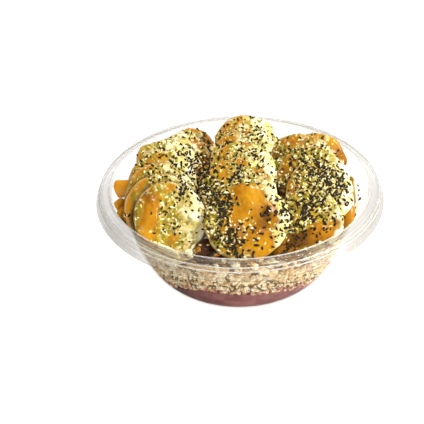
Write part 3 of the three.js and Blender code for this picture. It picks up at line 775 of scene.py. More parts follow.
def make_slice(name, phase, material, surface, seam_shade):
    """One slice as a closed skin, kept clear of the wall."""
    points, _, _, at = surface
    axes, _ = slice_frame(SLICES[name])
    ends = [at + SLICE_DOME * axes[2], at - SLICES[name][3] * axes[2]]
    closed = kept_in_bowl(np.concatenate([points, ends]))
    mesh = closed, capped_rings(SLICE_RINGS, SLICE_TURNS, flipped=True)
    new_piece("banana_" + name, mesh, material, ["slice_" + name],
              masks=slice_masks(name, phase, surface, seam_shade))
    return mesh


def sauce_coat(name, phase, surface):
    """The thick sauce on one slice as a closed sheet: its top, its underside and the rim."""
    points, directions, flat, _ = surface
    amount = sauce_amount(name, points, flat, phase)
    height = SAUCE_THICKNESS * smooth_step(-0.1, 0.6, amount) - COAT_FEATHER
    waves = unevenness(points, (0.16, 6, 6.6 + phase))
    height = np.where(amount > 0, height + waves * np.clip(amount / 0.4, 0, 1), -COAT_TUCK)
    count = COAT_ROWS * SLICE_TURNS
    top = kept_in_bowl(points[:count] + directions[:count] * height[:count, None], 0.1)
    under = kept_in_bowl(points[:count] - directions[:count] * COAT_BEDDED, 0.3)
    kept = [f for f in ring_faces(COAT_ROWS, SLICE_TURNS) if max(amount[list(f)]) > -0.02]
    return sheet_from(top, under, kept, brownness(name, flat))


def sheet_from(top, under, faces, values):
    """A closed sheet from the same faces on its top and underside, with a rim between them, and
    the values of its points."""
    used = sorted({i for f in faces for i in f})
    place = {old: new for new, old in enumerate(used)}
    count = len(used)
    points = np.concatenate([top[used], under[used]])
    result = []
    edges = {}
    for face in faces:
        ids = [place[i] for i in face]
        result.append(tuple(reversed(ids)))
        result.append(tuple(i + count for i in ids))
        for a, b in zip(ids, ids[1:] + ids[:1]):
            if (b, a) in edges:
                del edges[(b, a)]
            else:
                edges[(a, b)] = True
    result += [(a, b, b + count, a + count) for a, b in edges]
    return points, result, np.tile(values[used], 2)


def lump(place, phase):
    """A soft lump of sauce, flattened where the wall stops it."""
    at, half, up, turn, square = place
    axes, centre = slice_frame((at, 0, 0, 0, up, turn))
    theta = 2 * math.pi * np.arange(LUMP_TURNS) / LUMP_TURNS
    power = 2 / square
    side, along = [np.sign(wave) * abs(wave) ** power for wave in (np.cos(theta), np.sin(theta))]
    rings = []
    for k in range(1, LUMP_RINGS):
        lean = math.pi * k / LUMP_RINGS
        share = math.sin(lean) ** 0.7
        rings.append(np.stack([half[0] * share * side, half[1] * share * along,
                               np.full(LUMP_TURNS, half[2] * math.cos(lean))], 1))
    local = np.concatenate(rings + [[(0, 0, half[2]), (0, 0, -half[2])]])
    points = local @ axes + centre
    grow = 1 + unevenness(points, (0.16, 4.5, phase))
    points = kept_in_bowl(centre + (points - centre) * grow[:, None], 0.05)
    return points, capped_rings(LUMP_RINGS - 1, LUMP_TURNS, flipped=True)


# ---- Small pieces ----------------------------------------------------------------------

def seed_template(length, width, depth, sides=7, rows=4, taper=0.25):
    """A seed: a plump grain, a little pointed at one end, along X."""
    points = [(-length, 0, 0)]
    for k in range(1, rows + 1):
        along = -1 + 2 * k / (rows + 1)
        share = math.sqrt(1 - along ** 2) * (1 - taper * along)
        for i in range(sides):
            angle = 2 * math.pi * i / sides
            points.append((length * along, width * share * math.cos(angle),
                           depth * share * math.sin(angle)))
    points.append((length, 0, 0))
    faces = []
    for i in range(sides):
        j = (i + 1) % sides
        faces.append((0, 1 + j, 1 + i))
        for k in range(rows - 1):
            low, high = 1 + k * sides, 1 + (k + 1) * sides
            faces.append((low + i, low + j, high + j, high + i))
        end = 1 + rows * sides
        faces.append((end, end - sides + i, end - sides + j))
    return np.array(points), faces


def crumb_template(rng, roughness):
    """A broken crumb: a twenty-sided stone with its corners moved."""
    golden = (1 + math.sqrt(5)) / 2
    points = []
    for a in (-1, 1):
        for b in (-golden, golden):
            points += [(0, a, b), (a, b, 0), (b, 0, a)]
    points = np.array(points) / math.hypot(1, golden)
    faces = []
    for i in range(12):
        for j in range(i + 1, 12):
            for k in range(j + 1, 12):
                gaps = [np.linalg.norm(points[a] - points[b]) for a, b in ((i, j), (j, k), (k, i))]
                if max(gaps) < 1.1:
                    normal = np.cross(points[j] - points[i], points[k] - points[i])
                    faces.append((i, j, k) if normal @ points[i] > 0 else (i, k, j))
    push = 1 + roughness * (rng.random(12) - 0.5)
    return points * push[:, None], faces


def turned_to(normal, rng, tilt):
    """Axes of a grain that lies on a surface: X at random along it, Z away from it."""
    up = np.array(normal, float) + tilt * (rng.random(3) - 0.5)
    up /= np.linalg.norm(up)
    guess = rng.random(3) - 0.5
    along = guess - up * (guess @ up)
    along /= np.linalg.norm(along)
    return np.array([along, np.cross(up, along), up])


def any_of(templates, rng):
    """One of the templates at random."""
    return templates[int(rng.integers(len(templates)))]


def scattered(spots, templates, rng, raised, tilt, sizes):
    """Grains on (point, normal) spots, joined into one mesh."""
    parts = []
    for point, normal in spots:
        points, faces = any_of(templates, rng)
        axes = turned_to(normal, rng, tilt)
        size = sizes[0] + (sizes[1] - sizes[0]) * rng.random()
        placed = (points * size) @ axes + np.array(point) + np.array(normal) * raised * size
        parts.append((placed, faces))
    return joined(parts)


def landed(tree, x, y):
    """Point, normal and face where something dropped there comes to lie."""
    hit, normal, index, _ = tree.ray_cast(Vector((x, y, DROP_HEIGHT)), DOWN)
    return (hit, normal, index) if hit is not None else None


def even_spots(tree, rng, count, first_sauce_face, sauce_share):
    """Spots where seeds that rain down evenly come to lie; fewer of them on the thick sauce, and
    on the rims of the slices, which don't face the front."""
    spots = []
    while len(spots) < count:
        x, y = [width * (rng.random() - 0.5) + middle
                for width, middle in zip(SEED_RAIN_WIDTHS, SEED_RAIN_MIDDLE)]
        if any(math.hypot(x - at_x, y - at_y) < radius and rng.random() > share
               for at_x, at_y, radius, share in BARE_ZONES):
            continue
        found = landed(tree, x, y)
        if found is None or found[0].z < LOWEST_SEED:
            continue
        if found[1].y > RIM_FACING and rng.random() > RIM_SHARE:
            continue
        if found[2] >= first_sauce_face and rng.random() > sauce_share:
            continue
        spots.append((found[0], found[1]))
    return spots


def drift_spots(tree, rng, drifts):
    """Spots where seeds lie drifted together."""
    spots = []
    for x, y, spread, count in drifts:
        near = spread * DRIFT_TIGHTNESS
        for _ in range(count):
            found = landed(tree, rng.normal(x, near), rng.normal(y, near))
            if found is not None and found[0].z > LOWEST_IN_DRIFT:
                spots.append((found[0], found[1]))
    return spots


def wall_spots():
    """Spots on the inside of the wall where single seeds stick."""
    spots = []
    for degrees, height in SEEDS_ON_WALL:
        angle = math.radians(degrees)
        inward = Vector((-math.sin(angle), math.cos(angle), SEED_LEAN)).normalized()
        radius = float(wall_radius(height)) - SEED_OFF_WALL
        spots.append((on_circle(radius, angle, height), inward))
    return spots


# ---- Granola ---------------------------------------------------------------------------

def granola_core():
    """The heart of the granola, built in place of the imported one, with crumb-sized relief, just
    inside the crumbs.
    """
    rings = []
    for k in range(CORE_WALL_RINGS + 1):
        ring = []
        for angle in LAYER_ANGLES:
            low, high = acai_edge(angle) - CORE_DEPTH, granola_top(GRANOLA_EDGE_RADIUS, angle)
            height = low + (high - low) * k / CORE_WALL_RINGS
            place = on_circle(ACAI_EDGE_RADIUS, angle, height)
            relief = 0.7 * wobble(place, 2.2, 3.3) + 0.35 * wobble(place, 1.0, 1.1)
            radius = float(wall_radius(height)) - CORE_INSET + relief
            ring.append(on_circle(radius, angle, height))
        rings.append(ring)
    for radius in CORE_TOP_RINGS:
        ring = []
        for angle in LAYER_ANGLES:
            relief = 0.9 * wobble(on_circle(radius, angle, 0), 3.1, 1.9)
            ring.append(on_circle(radius, angle, granola_top(radius, angle) - CORE_SINK + relief))
        rings.append(ring)
    ends = [(0, 0, ACAI_CENTRE), (0, 0, granola_top(0, 0) - CORE_SINK)]
    points = np.array([p for ring in rings for p in ring] + ends)
    return points, capped_rings(len(rings), LAYER_TURNS)


def one_crumb(rng, templates, half, stretches, facing, tilt):
    """Points, faces and size of a crumb round the origin, turned to lie on a surface that faces
    that way."""
    points, faces = any_of(templates, rng)
    size = half[0] + (half[1] - half[0]) * rng.random() ** 2
    stretch = np.array([1] + [least + more * rng.random() for least, more in stretches])
    return (points * stretch * size) @ turned_to(facing, rng, tilt), faces, size


def crumbs_at_wall(rng, count, low_share, high_share, half, templates):
    """Crumbs pressed against the inside of the wall between the acai and the granola's top."""
    parts = []
    for _ in range(count):
        angle = 2 * math.pi * rng.random()
        low, high = acai_edge(angle), granola_top(GRANOLA_EDGE_RADIUS, angle)
        height = low + (high - low) * (low_share + (high_share - low_share) * rng.random())
        x, y, _ = on_circle(1, angle, 0)
        placed, faces, _ = one_crumb(rng, templates, half, WALL_STRETCH, (x, y, -WALL_LOOKS_DOWN),
                                     WALL_TILT)
        depth = max(placed @ np.array([x, y, 0]))
        radius = float(wall_radius(height)) + PRESSED_IN - depth - CRUMBS_BACK * rng.random() ** 2
        placed += np.array(on_circle(radius, angle, height))
        parts.append((kept_in_bowl(placed, -PRESSED_IN), faces))
    return joined(parts)


def crumbs_on_top(rng, count, half, templates):
    """Crumbs lying all over the granola's top."""
    parts = []
    for _ in range(count):
        angle = 2 * math.pi * rng.random()
        radius = TOP_CRUMBS_REACH * math.sqrt(rng.random())
        placed, faces, size = one_crumb(rng, templates, half, TOP_STRETCH, (0, 0, 1), TOP_TILT)
        height = granola_top(radius, angle) + CRUMB_RAISED * size
        placed += np.array(on_circle(radius, angle, height))
        parts.append((kept_in_bowl(placed, -PRESSED_IN), faces))
    return joined(parts)


# ---- Materials -------------------------------------------------------------------------

def add_node(tree, kind, **settings):
    """A node with its own settings and plain socket values, with _ for each blank."""
    node = tree.nodes.new(kind)
    for key, value in settings.items():
        if hasattr(node, key):
            setattr(node, key, value)
        else:
            node.inputs[key.replace("_", " ")].default_value = value
    return node


def feed(tree, value, socket):
    """Links a node's output to a socket, or sets a plain value on it."""
    if isinstance(value, bpy.types.NodeSocket):
        tree.links.new(value, socket)
    else:
        socket.default_value = value


def calculated(tree, operation, first, second):
    """Two masks, or a mask and a plain number, put together."""
    node = add_node(tree, "ShaderNodeMath", operation=operation)
    feed(tree, first, node.inputs[0])
    feed(tree, second, node.inputs[1])
    return node.outputs[0]


def painted(tree, mask):
    """One of the masks that a piece's points carry."""
    return add_node(tree, "ShaderNodeAttribute", attribute_name=mask).outputs["Fac"]


def new_group(name, inputs, outputs):
    """A group whose sockets are all plain numbers; gives it, its input and its output."""
    group = bpy.data.node_groups.new(name, "ShaderNodeTree")
    for direction, sockets in (("INPUT", inputs), ("OUTPUT", outputs)):
        for socket in sockets:
            group.interface.new_socket(socket, in_out=direction, socket_type="NodeSocketFloat")
    given = group.nodes.new("NodeGroupInput").outputs
    return group, given, group.nodes.new("NodeGroupOutput").inputs


def uneven_colour_group():
    """Two masks that vary over a surface: Broad at the given size, and Fine at a quarter of it."""
    group, given, result = new_group("uneven_colour", ("Size", "Low", "High"), ("Broad", "Fine"))
    place = group.nodes.new("ShaderNodeTexCoord").outputs["Object"]
    scale = calculated(group, "DIVIDE", 1, given["Size"])
    for name, times in (("Broad", 1), ("Fine", 4)):
        cloud = add_node(group, "ShaderNodeTexNoise", Detail=4.0, Roughness=0.55)
        feed(group, place, cloud.inputs["Vector"])
        feed(group, calculated(group, "MULTIPLY", scale, times), cloud.inputs["Scale"])
        mask = add_node(group, "ShaderNodeMapRange", interpolation_type="SMOOTHSTEP")
        feed(group, cloud.outputs["Fac"], mask.inputs["Value"])
        feed(group, given["Low"], mask.inputs["From Min"])
        feed(group, given["High"], mask.inputs["From Max"])
        feed(group, mask.outputs["Result"], result[name])
    return group


def piece_tint_group():
    """A mask that differs from one loose crumb or seed to the next."""
    group, given, result = new_group("tint_by_piece", ("Low", "High"), ("Tint",))
    geometry = group.nodes.new("ShaderNodeNewGeometry")
    mask = group.nodes.new("ShaderNodeMapRange")
    feed(group, geometry.outputs["Random Per Island"], mask.inputs["Value"])
    feed(group, given["Low"], mask.inputs["To Min"])
    feed(group, given["High"], mask.inputs["To Max"])
    feed(group, mask.outputs["Result"], result["Tint"])
    return group


UNEVEN = uneven_colour_group()
TINT = piece_tint_group()
LIGHT_DEPTH = 0.003          # how far light goes into soft food, in metres


def new_material(name, **values):
    """A material with a Principled shader whose plain values are set on its own sockets."""
    material = bpy.data.materials.new(name)
    material.use_nodes = True
    tree = material.node_tree
    shader = tree.nodes["Principled BSDF"]
    for key, value in values.items():
        shader.inputs[key.replace("_", " ")].default_value = value
    return material, tree, shader


def place_group(tree, group, **values):
    """A group placed in a material with its own values; gives its outputs."""
    node = tree.nodes.new("ShaderNodeGroup")
    node.node_tree = group
    for key, value in values.items():
        node.inputs[key].default_value = value
    return node.outputs


def shader_mix(tree, share, first, second):
    """Mixes two shaders by a mask or a plain share."""
    mix = tree.nodes.new("ShaderNodeMixShader")
    feed(tree, share, mix.inputs["Fac"])
    feed(tree, first, mix.inputs[1])
    feed(tree, second, mix.inputs[2])
    return mix.outputs["Shader"]


def set_surface(tree, shader):
    """Gives the material that shader."""
    feed(tree, shader, tree.nodes["Material Output"].inputs["Surface"])


def colour_mix(tree, factor, first, second):
    """Mixes two colours, each a plain colour or a node's output, by a mask."""
    mix = add_node(tree, "ShaderNodeMix", data_type="RGBA")
    feed(tree, factor, mix.inputs["Factor"])
    for socket, value in ((mix.inputs[6], first), (mix.inputs[7], second)):
        feed(tree, (*value, 1) if isinstance(value, tuple) else value, socket)
    return mix.outputs[2]


def bump_from(tree, shader, height, strength, distance):
    """Fine relief from a mask, of a depth in millimetres."""
    bump = add_node(tree, "ShaderNodeBump", Strength=strength, Distance=distance * MM)
    feed(tree, height, bump.inputs["Height"])
    feed(tree, bump.outputs["Normal"], shader.inputs["Normal"])


def roughness_from(tree, shader, mask, low, high):
    """Roughness between two values, spread by a mask."""
    spread = add_node(tree, "ShaderNodeMapRange", To_Min=low, To_Max=high)
    feed(tree, mask, spread.inputs["Value"])
    feed(tree, spread.outputs["Result"], shader.inputs["Roughness"])


def clear_plastic():
    """Thin clear plastic: most of the view goes straight through, less where it is seen edge on; there
    the rim is greyed with painted shade, less at the back.
    """
    material, tree, shader = new_material("clear_plastic", Base_Color=(0.90, 0.89, 0.87, 1),
                                          IOR=1.42, Transmission_Weight=0.96)
    cloud = place_group(tree, UNEVEN, Size=9 * MM, Low=0.3, High=0.7)
    roughness_from(tree, shader, cloud["Broad"], 0.03, 0.09)
    bump_from(tree, shader, cloud["Broad"], 0.05, 0.2)
    facing = add_node(tree, "ShaderNodeLayerWeight", Blend=0.5).outputs["Facing"]
    rim = painted(tree, "rim")
    # Painted shade: the rim seen edge on is tinted grey.
    edge_on_shade = colour_mix(tree, rim, (0.92, 0.91, 0.89), (0.62, 0.60, 0.57))
    tint = colour_mix(tree, facing, (0.985, 0.985, 0.98), edge_on_shade)
    clear = tree.nodes.new("ShaderNodeBsdfTransparent")
    feed(tree, tint, clear.inputs["Color"])
    clearness = add_node(tree, "ShaderNodeMapRange", To_Min=0.93, To_Max=0.66)
    feed(tree, calculated(tree, "MULTIPLY", facing, rim), clearness.inputs["Value"])
    sheet = shader_mix(tree, clearness.outputs["Result"], shader.outputs["BSDF"],
                       clear.outputs["BSDF"])
    rays = tree.nodes.new("ShaderNodeLightPath")
    shaded = add_node(tree, "ShaderNodeBsdfTransparent", Color=(0.975, 0.97, 0.965, 1))
    set_surface(tree, shader_mix(tree, rays.outputs["Is Shadow Ray"], sheet,
                                 shaded.outputs["BSDF"]))
    return material


def moulded_edge():
    """The thicker edges of the sheet: the same plastic, a little milky."""
    material, tree, shader = new_material("moulded_edge", Base_Color=(0.86, 0.86, 0.84, 1),
                                          IOR=1.45, Transmission_Weight=0.5)
    clear = add_node(tree, "ShaderNodeBsdfTransparent", Color=(0.95, 0.94, 0.92, 1))
    set_surface(tree, shader_mix(tree, 0.45, shader.outputs["BSDF"], clear.outputs["BSDF"]))
    cloud = place_group(tree, UNEVEN, Size=12 * MM, Low=0.3, High=0.7)
    roughness_from(tree, shader, cloud["Broad"], 0.12, 0.3)
    bump_from(tree, shader, cloud["Fine"], 0.1, 0.2)
    return material


def frozen_acai():
    """Frozen acai: dull purple with paler icy flecks, and painted shade that darkens it towards the
    left.
    """
    material, tree, shader = new_material(
        "frozen_acai", Subsurface_Weight=0.15, Subsurface_Scale=LIGHT_DEPTH, Coat_Weight=0.05,
        Coat_Roughness=0.3, Specular_IOR_Level=0.15, Subsurface_Radius=(1.0, 0.4, 0.4))
    cloud = place_group(tree, UNEVEN, Size=11 * MM, Low=0.35, High=0.65)
    broad = colour_mix(tree, cloud["Broad"], (0.15, 0.043, 0.039), (0.29, 0.105, 0.10))
    flecks = place_group(tree, UNEVEN, Size=2.4 * MM, Low=0.55, High=0.75)
    flecked = colour_mix(tree, flecks["Broad"], broad, (0.34, 0.15, 0.135))
    # Painted shade: the mask darkens it towards the left.
    deeper = colour_mix(tree, painted(tree, "deeper"), flecked, (0.075, 0.020, 0.018))
    feed(tree, deeper, shader.inputs["Base Color"])
    roughness_from(tree, shader, flecks["Fine"], 0.35, 0.6)
    bump_from(tree, shader, flecks["Fine"], 0.35, 0.4)
    return material


def crumbly(name, pale, middle, dark, size):
    """Baked oats and crumbs: each loose piece has its own tint, with browned flecks."""
    material, tree, shader = new_material(name, Specular_IOR_Level=0.3)
    tint = place_group(tree, TINT, Low=-0.7, High=1.5)
    cloud = place_group(tree, UNEVEN, Size=size * MM, Low=0.45, High=0.7)
    own = colour_mix(tree, tint["Tint"], pale, middle)
    feed(tree, colour_mix(tree, cloud["Fine"], own, dark), shader.inputs["Base Color"])
    roughness_from(tree, shader, cloud["Broad"], 0.6, 0.9)
    bump_from(tree, shader, cloud["Fine"], 0.5, 0.5)
    return material


def amber_colour(tree):
    """The colour of the nut sauce: golden where painted highlights lighten it, browner where it lies
    deep and where painted shade falls, and its fine mask."""
    cloud = place_group(tree, UNEVEN, Size=9 * MM, Low=0.35, High=0.65)
    broad = colour_mix(tree, cloud["Broad"], (0.23, 0.08, 0.001), (0.42, 0.185, 0.002))
    mottled = colour_mix(tree, cloud["Fine"], broad, (0.34, 0.135, 0.001))
    brown = painted(tree, "brown")
    painted_highlight = calculated(tree, "MULTIPLY", brown, -1)
    # Painted highlight: golden where the brown mask is below 0.
    golden = colour_mix(tree, painted_highlight, mottled, (0.48, 0.235, 0.002))
    return colour_mix(tree, brown, golden, (0.10, 0.036, 0.001)), cloud["Fine"]


def banana_flesh():
    """Ripe banana under a film of sauce: cream flesh, golden smears, greener wet hollows whose olive is
    partly painted shade, painted shade in the crevices and painted light on the right sides.
    """
    material, tree, shader = new_material(
        "banana_flesh", Subsurface_Weight=0.15, Subsurface_Scale=LIGHT_DEPTH, Coat_Weight=0.12,
        Coat_Roughness=0.12, Specular_IOR_Level=0.1, Subsurface_Radius=(1.0, 0.6, 0.2))
    mask = {name: painted(tree, name)
            for name in ("film", "deep", "golden", "grain", "sauce", "edge", "side", "seam_shade")}
    small = place_group(tree, UNEVEN, Size=6 * MM, Low=0.40, High=0.60)
    grain = place_group(tree, UNEVEN, Size=2.8 * MM, Low=0.48, High=0.58)
    specks = place_group(tree, UNEVEN, Size=1.9 * MM, Low=0.56, High=0.63)
    golden = colour_mix(tree, small["Broad"], (0.36, 0.19, 0.005), (0.16, 0.12, 0.004))
    wet = colour_mix(tree, small["Fine"], golden, (0.42, 0.28, 0.025))
    deeper = colour_mix(tree, mask["deep"], wet, (0.12, 0.06, 0.005))
    flesh = colour_mix(tree, small["Broad"], (0.94, 0.88, 0.60), (0.66, 0.55, 0.17))
    face = colour_mix(tree, mask["film"], flesh, deeper)
    amber, _ = amber_colour(tree)
    stained = colour_mix(tree, mask["golden"], face, amber)
    # Olive in the fine hollows: partly the wet flesh's colour, partly painted shade.
    shaded_hollow = calculated(tree, "MULTIPLY", grain["Broad"], mask["grain"])
    olive = colour_mix(tree, shaded_hollow, stained, (0.17, 0.138, 0.006))
    speck = calculated(tree, "MULTIPLY", specks["Broad"], mask["grain"])
    speckled = colour_mix(tree, speck, olive, (0.80, 0.72, 0.40))
    pale_rim = colour_mix(tree, small["Broad"], (0.80, 0.56, 0.28), (0.50, 0.29, 0.07))
    rimmed = colour_mix(tree, mask["edge"], speckled, pale_rim)
    brown_side = colour_mix(tree, small["Broad"], (0.42, 0.22, 0.04), (0.26, 0.12, 0.015))
    bare = colour_mix(tree, mask["side"], rimmed, brown_side)
    sauced = colour_mix(tree, mask["sauce"], bare, amber)
    # Painted shade where slices nearly touch, darkest in the crevices.
    with_seam_shade = colour_mix(tree, mask["seam_shade"], sauced, (0.09, 0.045, 0.009))
    feed(tree, with_seam_shade, shader.inputs["Base Color"])
    roughness_from(tree, shader, small["Broad"], 0.3, 0.5)
    bump_from(tree, shader, specks["Broad"], 0.5, 0.5)
    return material


def nut_sauce():
    """Glossy nut sauce, amber where it is thick."""
    material, tree, shader = new_material(
        "nut_sauce", Subsurface_Weight=0.2, Subsurface_Scale=LIGHT_DEPTH, Coat_Weight=0.3,
        Coat_Roughness=0.1, Specular_IOR_Level=0.1, Subsurface_Radius=(1.0, 0.5, 0.1))
    amber, fine = amber_colour(tree)
    feed(tree, amber, shader.inputs["Base Color"])
    roughness_from(tree, shader, fine, 0.32, 0.5)
    bump_from(tree, shader, fine, 0.15, 0.5)
    return material


def smooth_skin(name, first, second, roughness, coat):
    """The skin of seeds and smears: its own tint for each, with faint pits."""
    material, tree, shader = new_material(name, Coat_Weight=coat, Coat_Roughness=0.2,
                                          Specular_IOR_Level=0.15)
    tint = place_group(tree, TINT, Low=0.0, High=1.0)
    pits = place_group(tree, UNEVEN, Size=1.0 * MM, Low=0.4, High=0.6)
    feed(tree, colour_mix(tree, tint["Tint"], first, second), shader.inputs["Base Color"])
    roughness_from(tree, shader, pits["Broad"], roughness, roughness + 0.15)
    bump_from(tree, shader, pits["Broad"], 0.2, 0.2)
    return material


def pale_floor():
    """White where it is looked at; what it throws back on the bowl is held down, as by a black
    card."""
    material, tree, shader = new_material("pale_floor", Specular_IOR_Level=0.1,
                                          Emission_Color=(1, 1, 1, 1), Emission_Strength=0.95)
    cloud = place_group(tree, UNEVEN, Size=60 * MM, Low=0.3, High=0.7)
    grey = colour_mix(tree, cloud["Broad"], (0.22, 0.22, 0.22), (0.26, 0.26, 0.26))
    feed(tree, grey, shader.inputs["Base Color"])
    roughness_from(tree, shader, cloud["Fine"], 0.8, 0.95)
    card = add_node(tree, "ShaderNodeBsdfDiffuse", Color=(0.72, 0.71, 0.69, 1))
    rays = tree.nodes.new("ShaderNodeLightPath")
    seen = calculated(tree, "MAXIMUM", rays.outputs["Is Camera Ray"],
                      rays.outputs["Is Transmission Ray"])
    set_surface(tree, shader_mix(tree, seen, card.outputs["BSDF"], shader.outputs["BSDF"]))
    return material


# ---- Making the food -------------------------------------------------------------------

def make_thick_sauce(coats, material):
    """The coats on the slices and the sauce that has run off them, as one piece."""
    lumps = [lump(place[:5], LUMP_STEP * i) for i, place in enumerate(SAUCE_LUMPS)]
    browns = [values for *_, values in coats]
    browns += [np.full(len(points), place[5]) for (points, _), place in zip(lumps, SAUCE_LUMPS)]
    sauce = joined([(points, faces) for points, faces, _ in coats] + lumps)
    new_piece("thick_sauce", sauce, material, masks={"brown": np.concatenate(browns)})
    return sauce


def make_toppings(materials):
    """Slices with their sauce, and the smears; gives the slices, the sauce and smears that seeds
    land on, and the first face of these."""
    slices, coats = [], []
    surfaces = {name: slice_surface(name, NEXT_PHASE * i) for i, name in enumerate(SLICES)}
    for i, name in enumerate(SLICES):
        phase = NEXT_PHASE * i
        slices.append(make_slice(name, phase, materials["banana"], surfaces[name],
                                 painted_seam_shade(name, surfaces)))
        if name in SAUCE:
            coats.append(sauce_coat(name, phase, surfaces[name]))
    sauces = [make_thick_sauce(coats, materials["sauce"])]
    for name, material, slot, places, first, step, seeded in LUMPY_PIECES:
        mesh = joined([lump(place, first + step * i) for i, place in enumerate(places)])
        new_piece(name, mesh, materials[material])
        if seeded:
            sauces.append(mesh)
    return slices, joined(sauces), sum(len(faces) for _, faces in slices)


def make_granola(materials, rng):
    """The core with crumbs, flakes and clusters round and on it; gives the core."""
    core = granola_core()
    new_piece("granola_core", core, materials["core"], ["granola"])
    crumbs = [crumb_template(rng, CRUMB_ROUGHNESS) for _ in range(CRUMB_KINDS)]
    for name, material, count, low, high, half in WALL_CRUMBS:
        mesh = crumbs_at_wall(rng, count, low, high, half, crumbs)
        new_piece(name, mesh, materials[material], smooth=False)
    mesh = crumbs_on_top(rng, TOP_CRUMBS, TOP_CRUMB_HALF, crumbs)
    new_piece("granola_on_top", mesh, materials["crumbs"], smooth=False)
    return core


def make_seeds(materials, slices, sauce, core, first_sauce_face, rng):
    """Black seeds and hulled hearts, lying on whatever is under them."""
    everything = joined(slices + [sauce, core])
    tree = BVHTree.FromPolygons([Vector(p) for p in everything[0]], everything[1])
    black = [seed_template(*BLACK_SEED)]
    spots = even_spots(tree, rng, BLACK_COUNT, first_sauce_face, BLACK_ON_SAUCE)
    spots += drift_spots(tree, rng, BLACK_DRIFTS)
    fallen = scattered(spots, black, rng, BLACK_RAISED, BLACK_TILT, BLACK_SIZES)
    stuck = scattered(wall_spots(), black, rng, BLACK_RAISED, WALL_SEED_TILT, WALL_SEED_SIZES)
    new_piece("black_seeds", joined([fallen, stuck]), materials["black"])
    crumbs = [crumb_template(rng, CRUMB_ROUGHNESS) for _ in range(CRUMB_KINDS)]
    hearts = [(points * HEART_SIZE, faces) for points, faces in crumbs]
    for name, material, count, on_sauce, drifts, sizes in HEARTS:
        spots = even_spots(tree, rng, count, first_sauce_face, on_sauce)
        spots += drift_spots(tree, rng, drifts)
        mesh = scattered(spots, hearts, rng, 0.0, HEART_TILT, sizes)
        new_piece(name, mesh, materials[material], smooth=False)


# ---- Stage, light and camera -----------------------------------------------------------

CAMERA_AT = (0, -0.25919, 0.21267)
CAMERA_RIGHT = (0.99883196, 0.02979975, -0.03803528)
CAMERA_UP = (0.01366564, 0.58081304, 0.81392227)
CAMERA_AHEAD = (-0.04634607, 0.81349136, -0.57972739)
CAMERA_LENS = 48.45
SENSOR = 36
NEAREST_SEEN = 0.01
FLOOR_HALF = 3
FLOOR_GAP = 0.0002           # how far the floor stays below the base
SKY_STRENGTH = 0.20
LIGHTS_AIM = (0, 0, 0.04)
# Soft round lights, in metres: name, place, size, power, colour.
LIGHTS = (
    ("window_side", (0.27, -0.08, 0.60), 0.26, 5.7, (1, 0.985, 0.95)),
    ("low_side", (0.42, -0.22, 0.12), 0.24, 2.2, (1, 0.99, 0.97)),
    ("front_fill", (-0.15, -0.50, 0.30), 0.30, 1.3, (1, 1, 1)),
)


def make_floor():
    """A pale floor, part of the stage."""
    mesh = bpy.data.meshes.new("floor")
    corners = [(x * FLOOR_HALF, y * FLOOR_HALF, 0) for x, y in ((-1, -1), (1, -1), (1, 1), (-1, 1))]
    mesh.from_pydata(corners, [], [(0, 1, 2, 3)])
    mesh.materials.append(pale_floor())
    floor = bpy.data.objects.new("floor", mesh)
    floor.location.z = -FLOOR_GAP
    bpy.context.scene.collection.objects.link(floor)


def add_soft_light(name, at, size, power, colour):
    """A round lamp turned to the middle of the bowl."""
    light = bpy.data.lights.new(name, "AREA")
    light.shape = "DISK"
    light.size = size
    light.energy = power
    light.color = colour
    lamp = bpy.data.objects.new(name, light)
    bpy.context.scene.collection.objects.link(lamp)
    lamp.location = at
    lamp.rotation_euler = (Vector(LIGHTS_AIM) - Vector(at)).to_track_quat("-Z", "Y").to_euler()


def make_light():
    """An even pale sky and the soft lights."""
    world = bpy.data.worlds.new("studio")
    bpy.context.scene.world = world
    world.use_nodes = True
    sky = world.node_tree.nodes["Background"]
    sky.inputs["Color"].default_value = (1, 1, 1, 1)
    sky.inputs["Strength"].default_value = SKY_STRENGTH
    for light in LIGHTS:
        add_soft_light(*light)


def make_camera():
    """The camera above the front, looking down into the bowl."""
    data = bpy.data.cameras.new("camera")
    data.sensor_width = SENSOR
    data.lens = CAMERA_LENS
    data.clip_start = NEAREST_SEEN
    camera = bpy.data.objects.new("camera", data)
    bpy.context.scene.collection.objects.link(camera)
    matrix = Matrix((CAMERA_RIGHT, CAMERA_UP, [-c for c in CAMERA_AHEAD])).transposed().to_4x4()
    matrix.translation = Vector(CAMERA_AT)
    camera.matrix_world = matrix
    bpy.context.scene.camera = camera


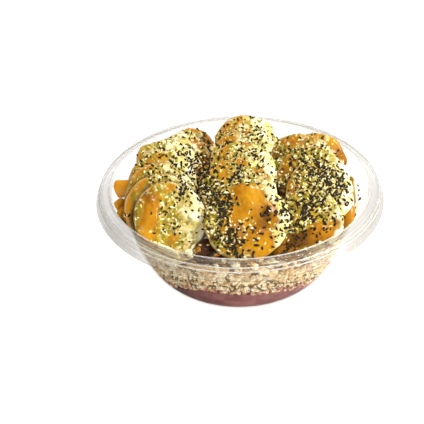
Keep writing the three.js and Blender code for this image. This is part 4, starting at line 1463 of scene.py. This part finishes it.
# Crumbly finishes: name, pale, middle and dark colour, size of the flecks.
CRUMBLY = {
    # The core's dark browns stand in for the shade in the gaps between the crumbs: painted shade over
    # the granola's own toasted colour.
    "core": ("granola_core", (0.26, 0.15, 0.06), (0.18, 0.10, 0.04), (0.12, 0.06, 0.02), 3),
    "crumbs": ("granola_crumbs", (1.0, 0.95, 0.72), (0.74, 0.52, 0.22), (0.44, 0.24, 0.07), 2),
    "stained": ("stained_crumbs", (0.72, 0.34, 0.22), (0.42, 0.11, 0.08), (0.28, 0.08, 0.06), 2),
    "clusters": ("granola_clusters", (0.80, 0.60, 0.34), (0.55, 0.33, 0.12), (0.40, 0.21, 0.06), 3),
}
# Smooth finishes: name, the two colours, roughness, gloss.
SMOOTH = {
    # A lighter amber than the nut sauce: painted light on the amber piece and the runs beside it, which
    # lie in shade.
    "amber": ("amber_piece_painted_light", (0.60, 0.25, 0.008), (0.50, 0.19, 0.005), 0.3, 0.1),
    "smear": ("thin_sauce_smear", (0.86, 0.70, 0.50), (0.80, 0.60, 0.38), 0.35, 0.2),
    "pressed": ("pressed_banana", (0.92, 0.82, 0.52), (0.66, 0.54, 0.27), 0.4, 0.1),
    # Nearly black acai: its own maroon darkened into painted shade for the gap between the front
    # slices.
    "acai_in_shade": ("shaded_acai_smear", (0.030, 0.009, 0.004), (0.060, 0.018, 0.007), 0.25, 0.3),
    "black": ("black_seed_coat", (0.007, 0.004, 0.001), (0.024, 0.014, 0.004), 0.4, 0.03),
    "pale": ("pale_seed_coat", (0.86, 0.79, 0.48), (0.46, 0.32, 0.05), 0.4, 0.1),
    "green": ("green_seed_coat", (0.46, 0.39, 0.08), (0.13, 0.105, 0.008), 0.4, 0.05),
}


def build():
    """Everything, in the order in which the random draws are made."""
    materials = {"banana": banana_flesh(), "sauce": nut_sauce()}
    materials.update((key, crumbly(*values)) for key, values in CRUMBLY.items())
    materials.update((key, smooth_skin(*values)) for key, values in SMOOTH.items())
    rng = np.random.default_rng(SCATTER_SEED)
    make_bowl(clear_plastic())
    make_moulded_rings(moulded_edge())
    make_acai(frozen_acai())
    slices, sauce, first_sauce_face = make_toppings(materials)
    core = make_granola(materials, rng)
    make_seeds(materials, slices, sauce, core, first_sauce_face, rng)
    make_floor()
    make_light()
    make_camera()
    bpy.context.scene.view_settings.view_transform = "Standard"


build()
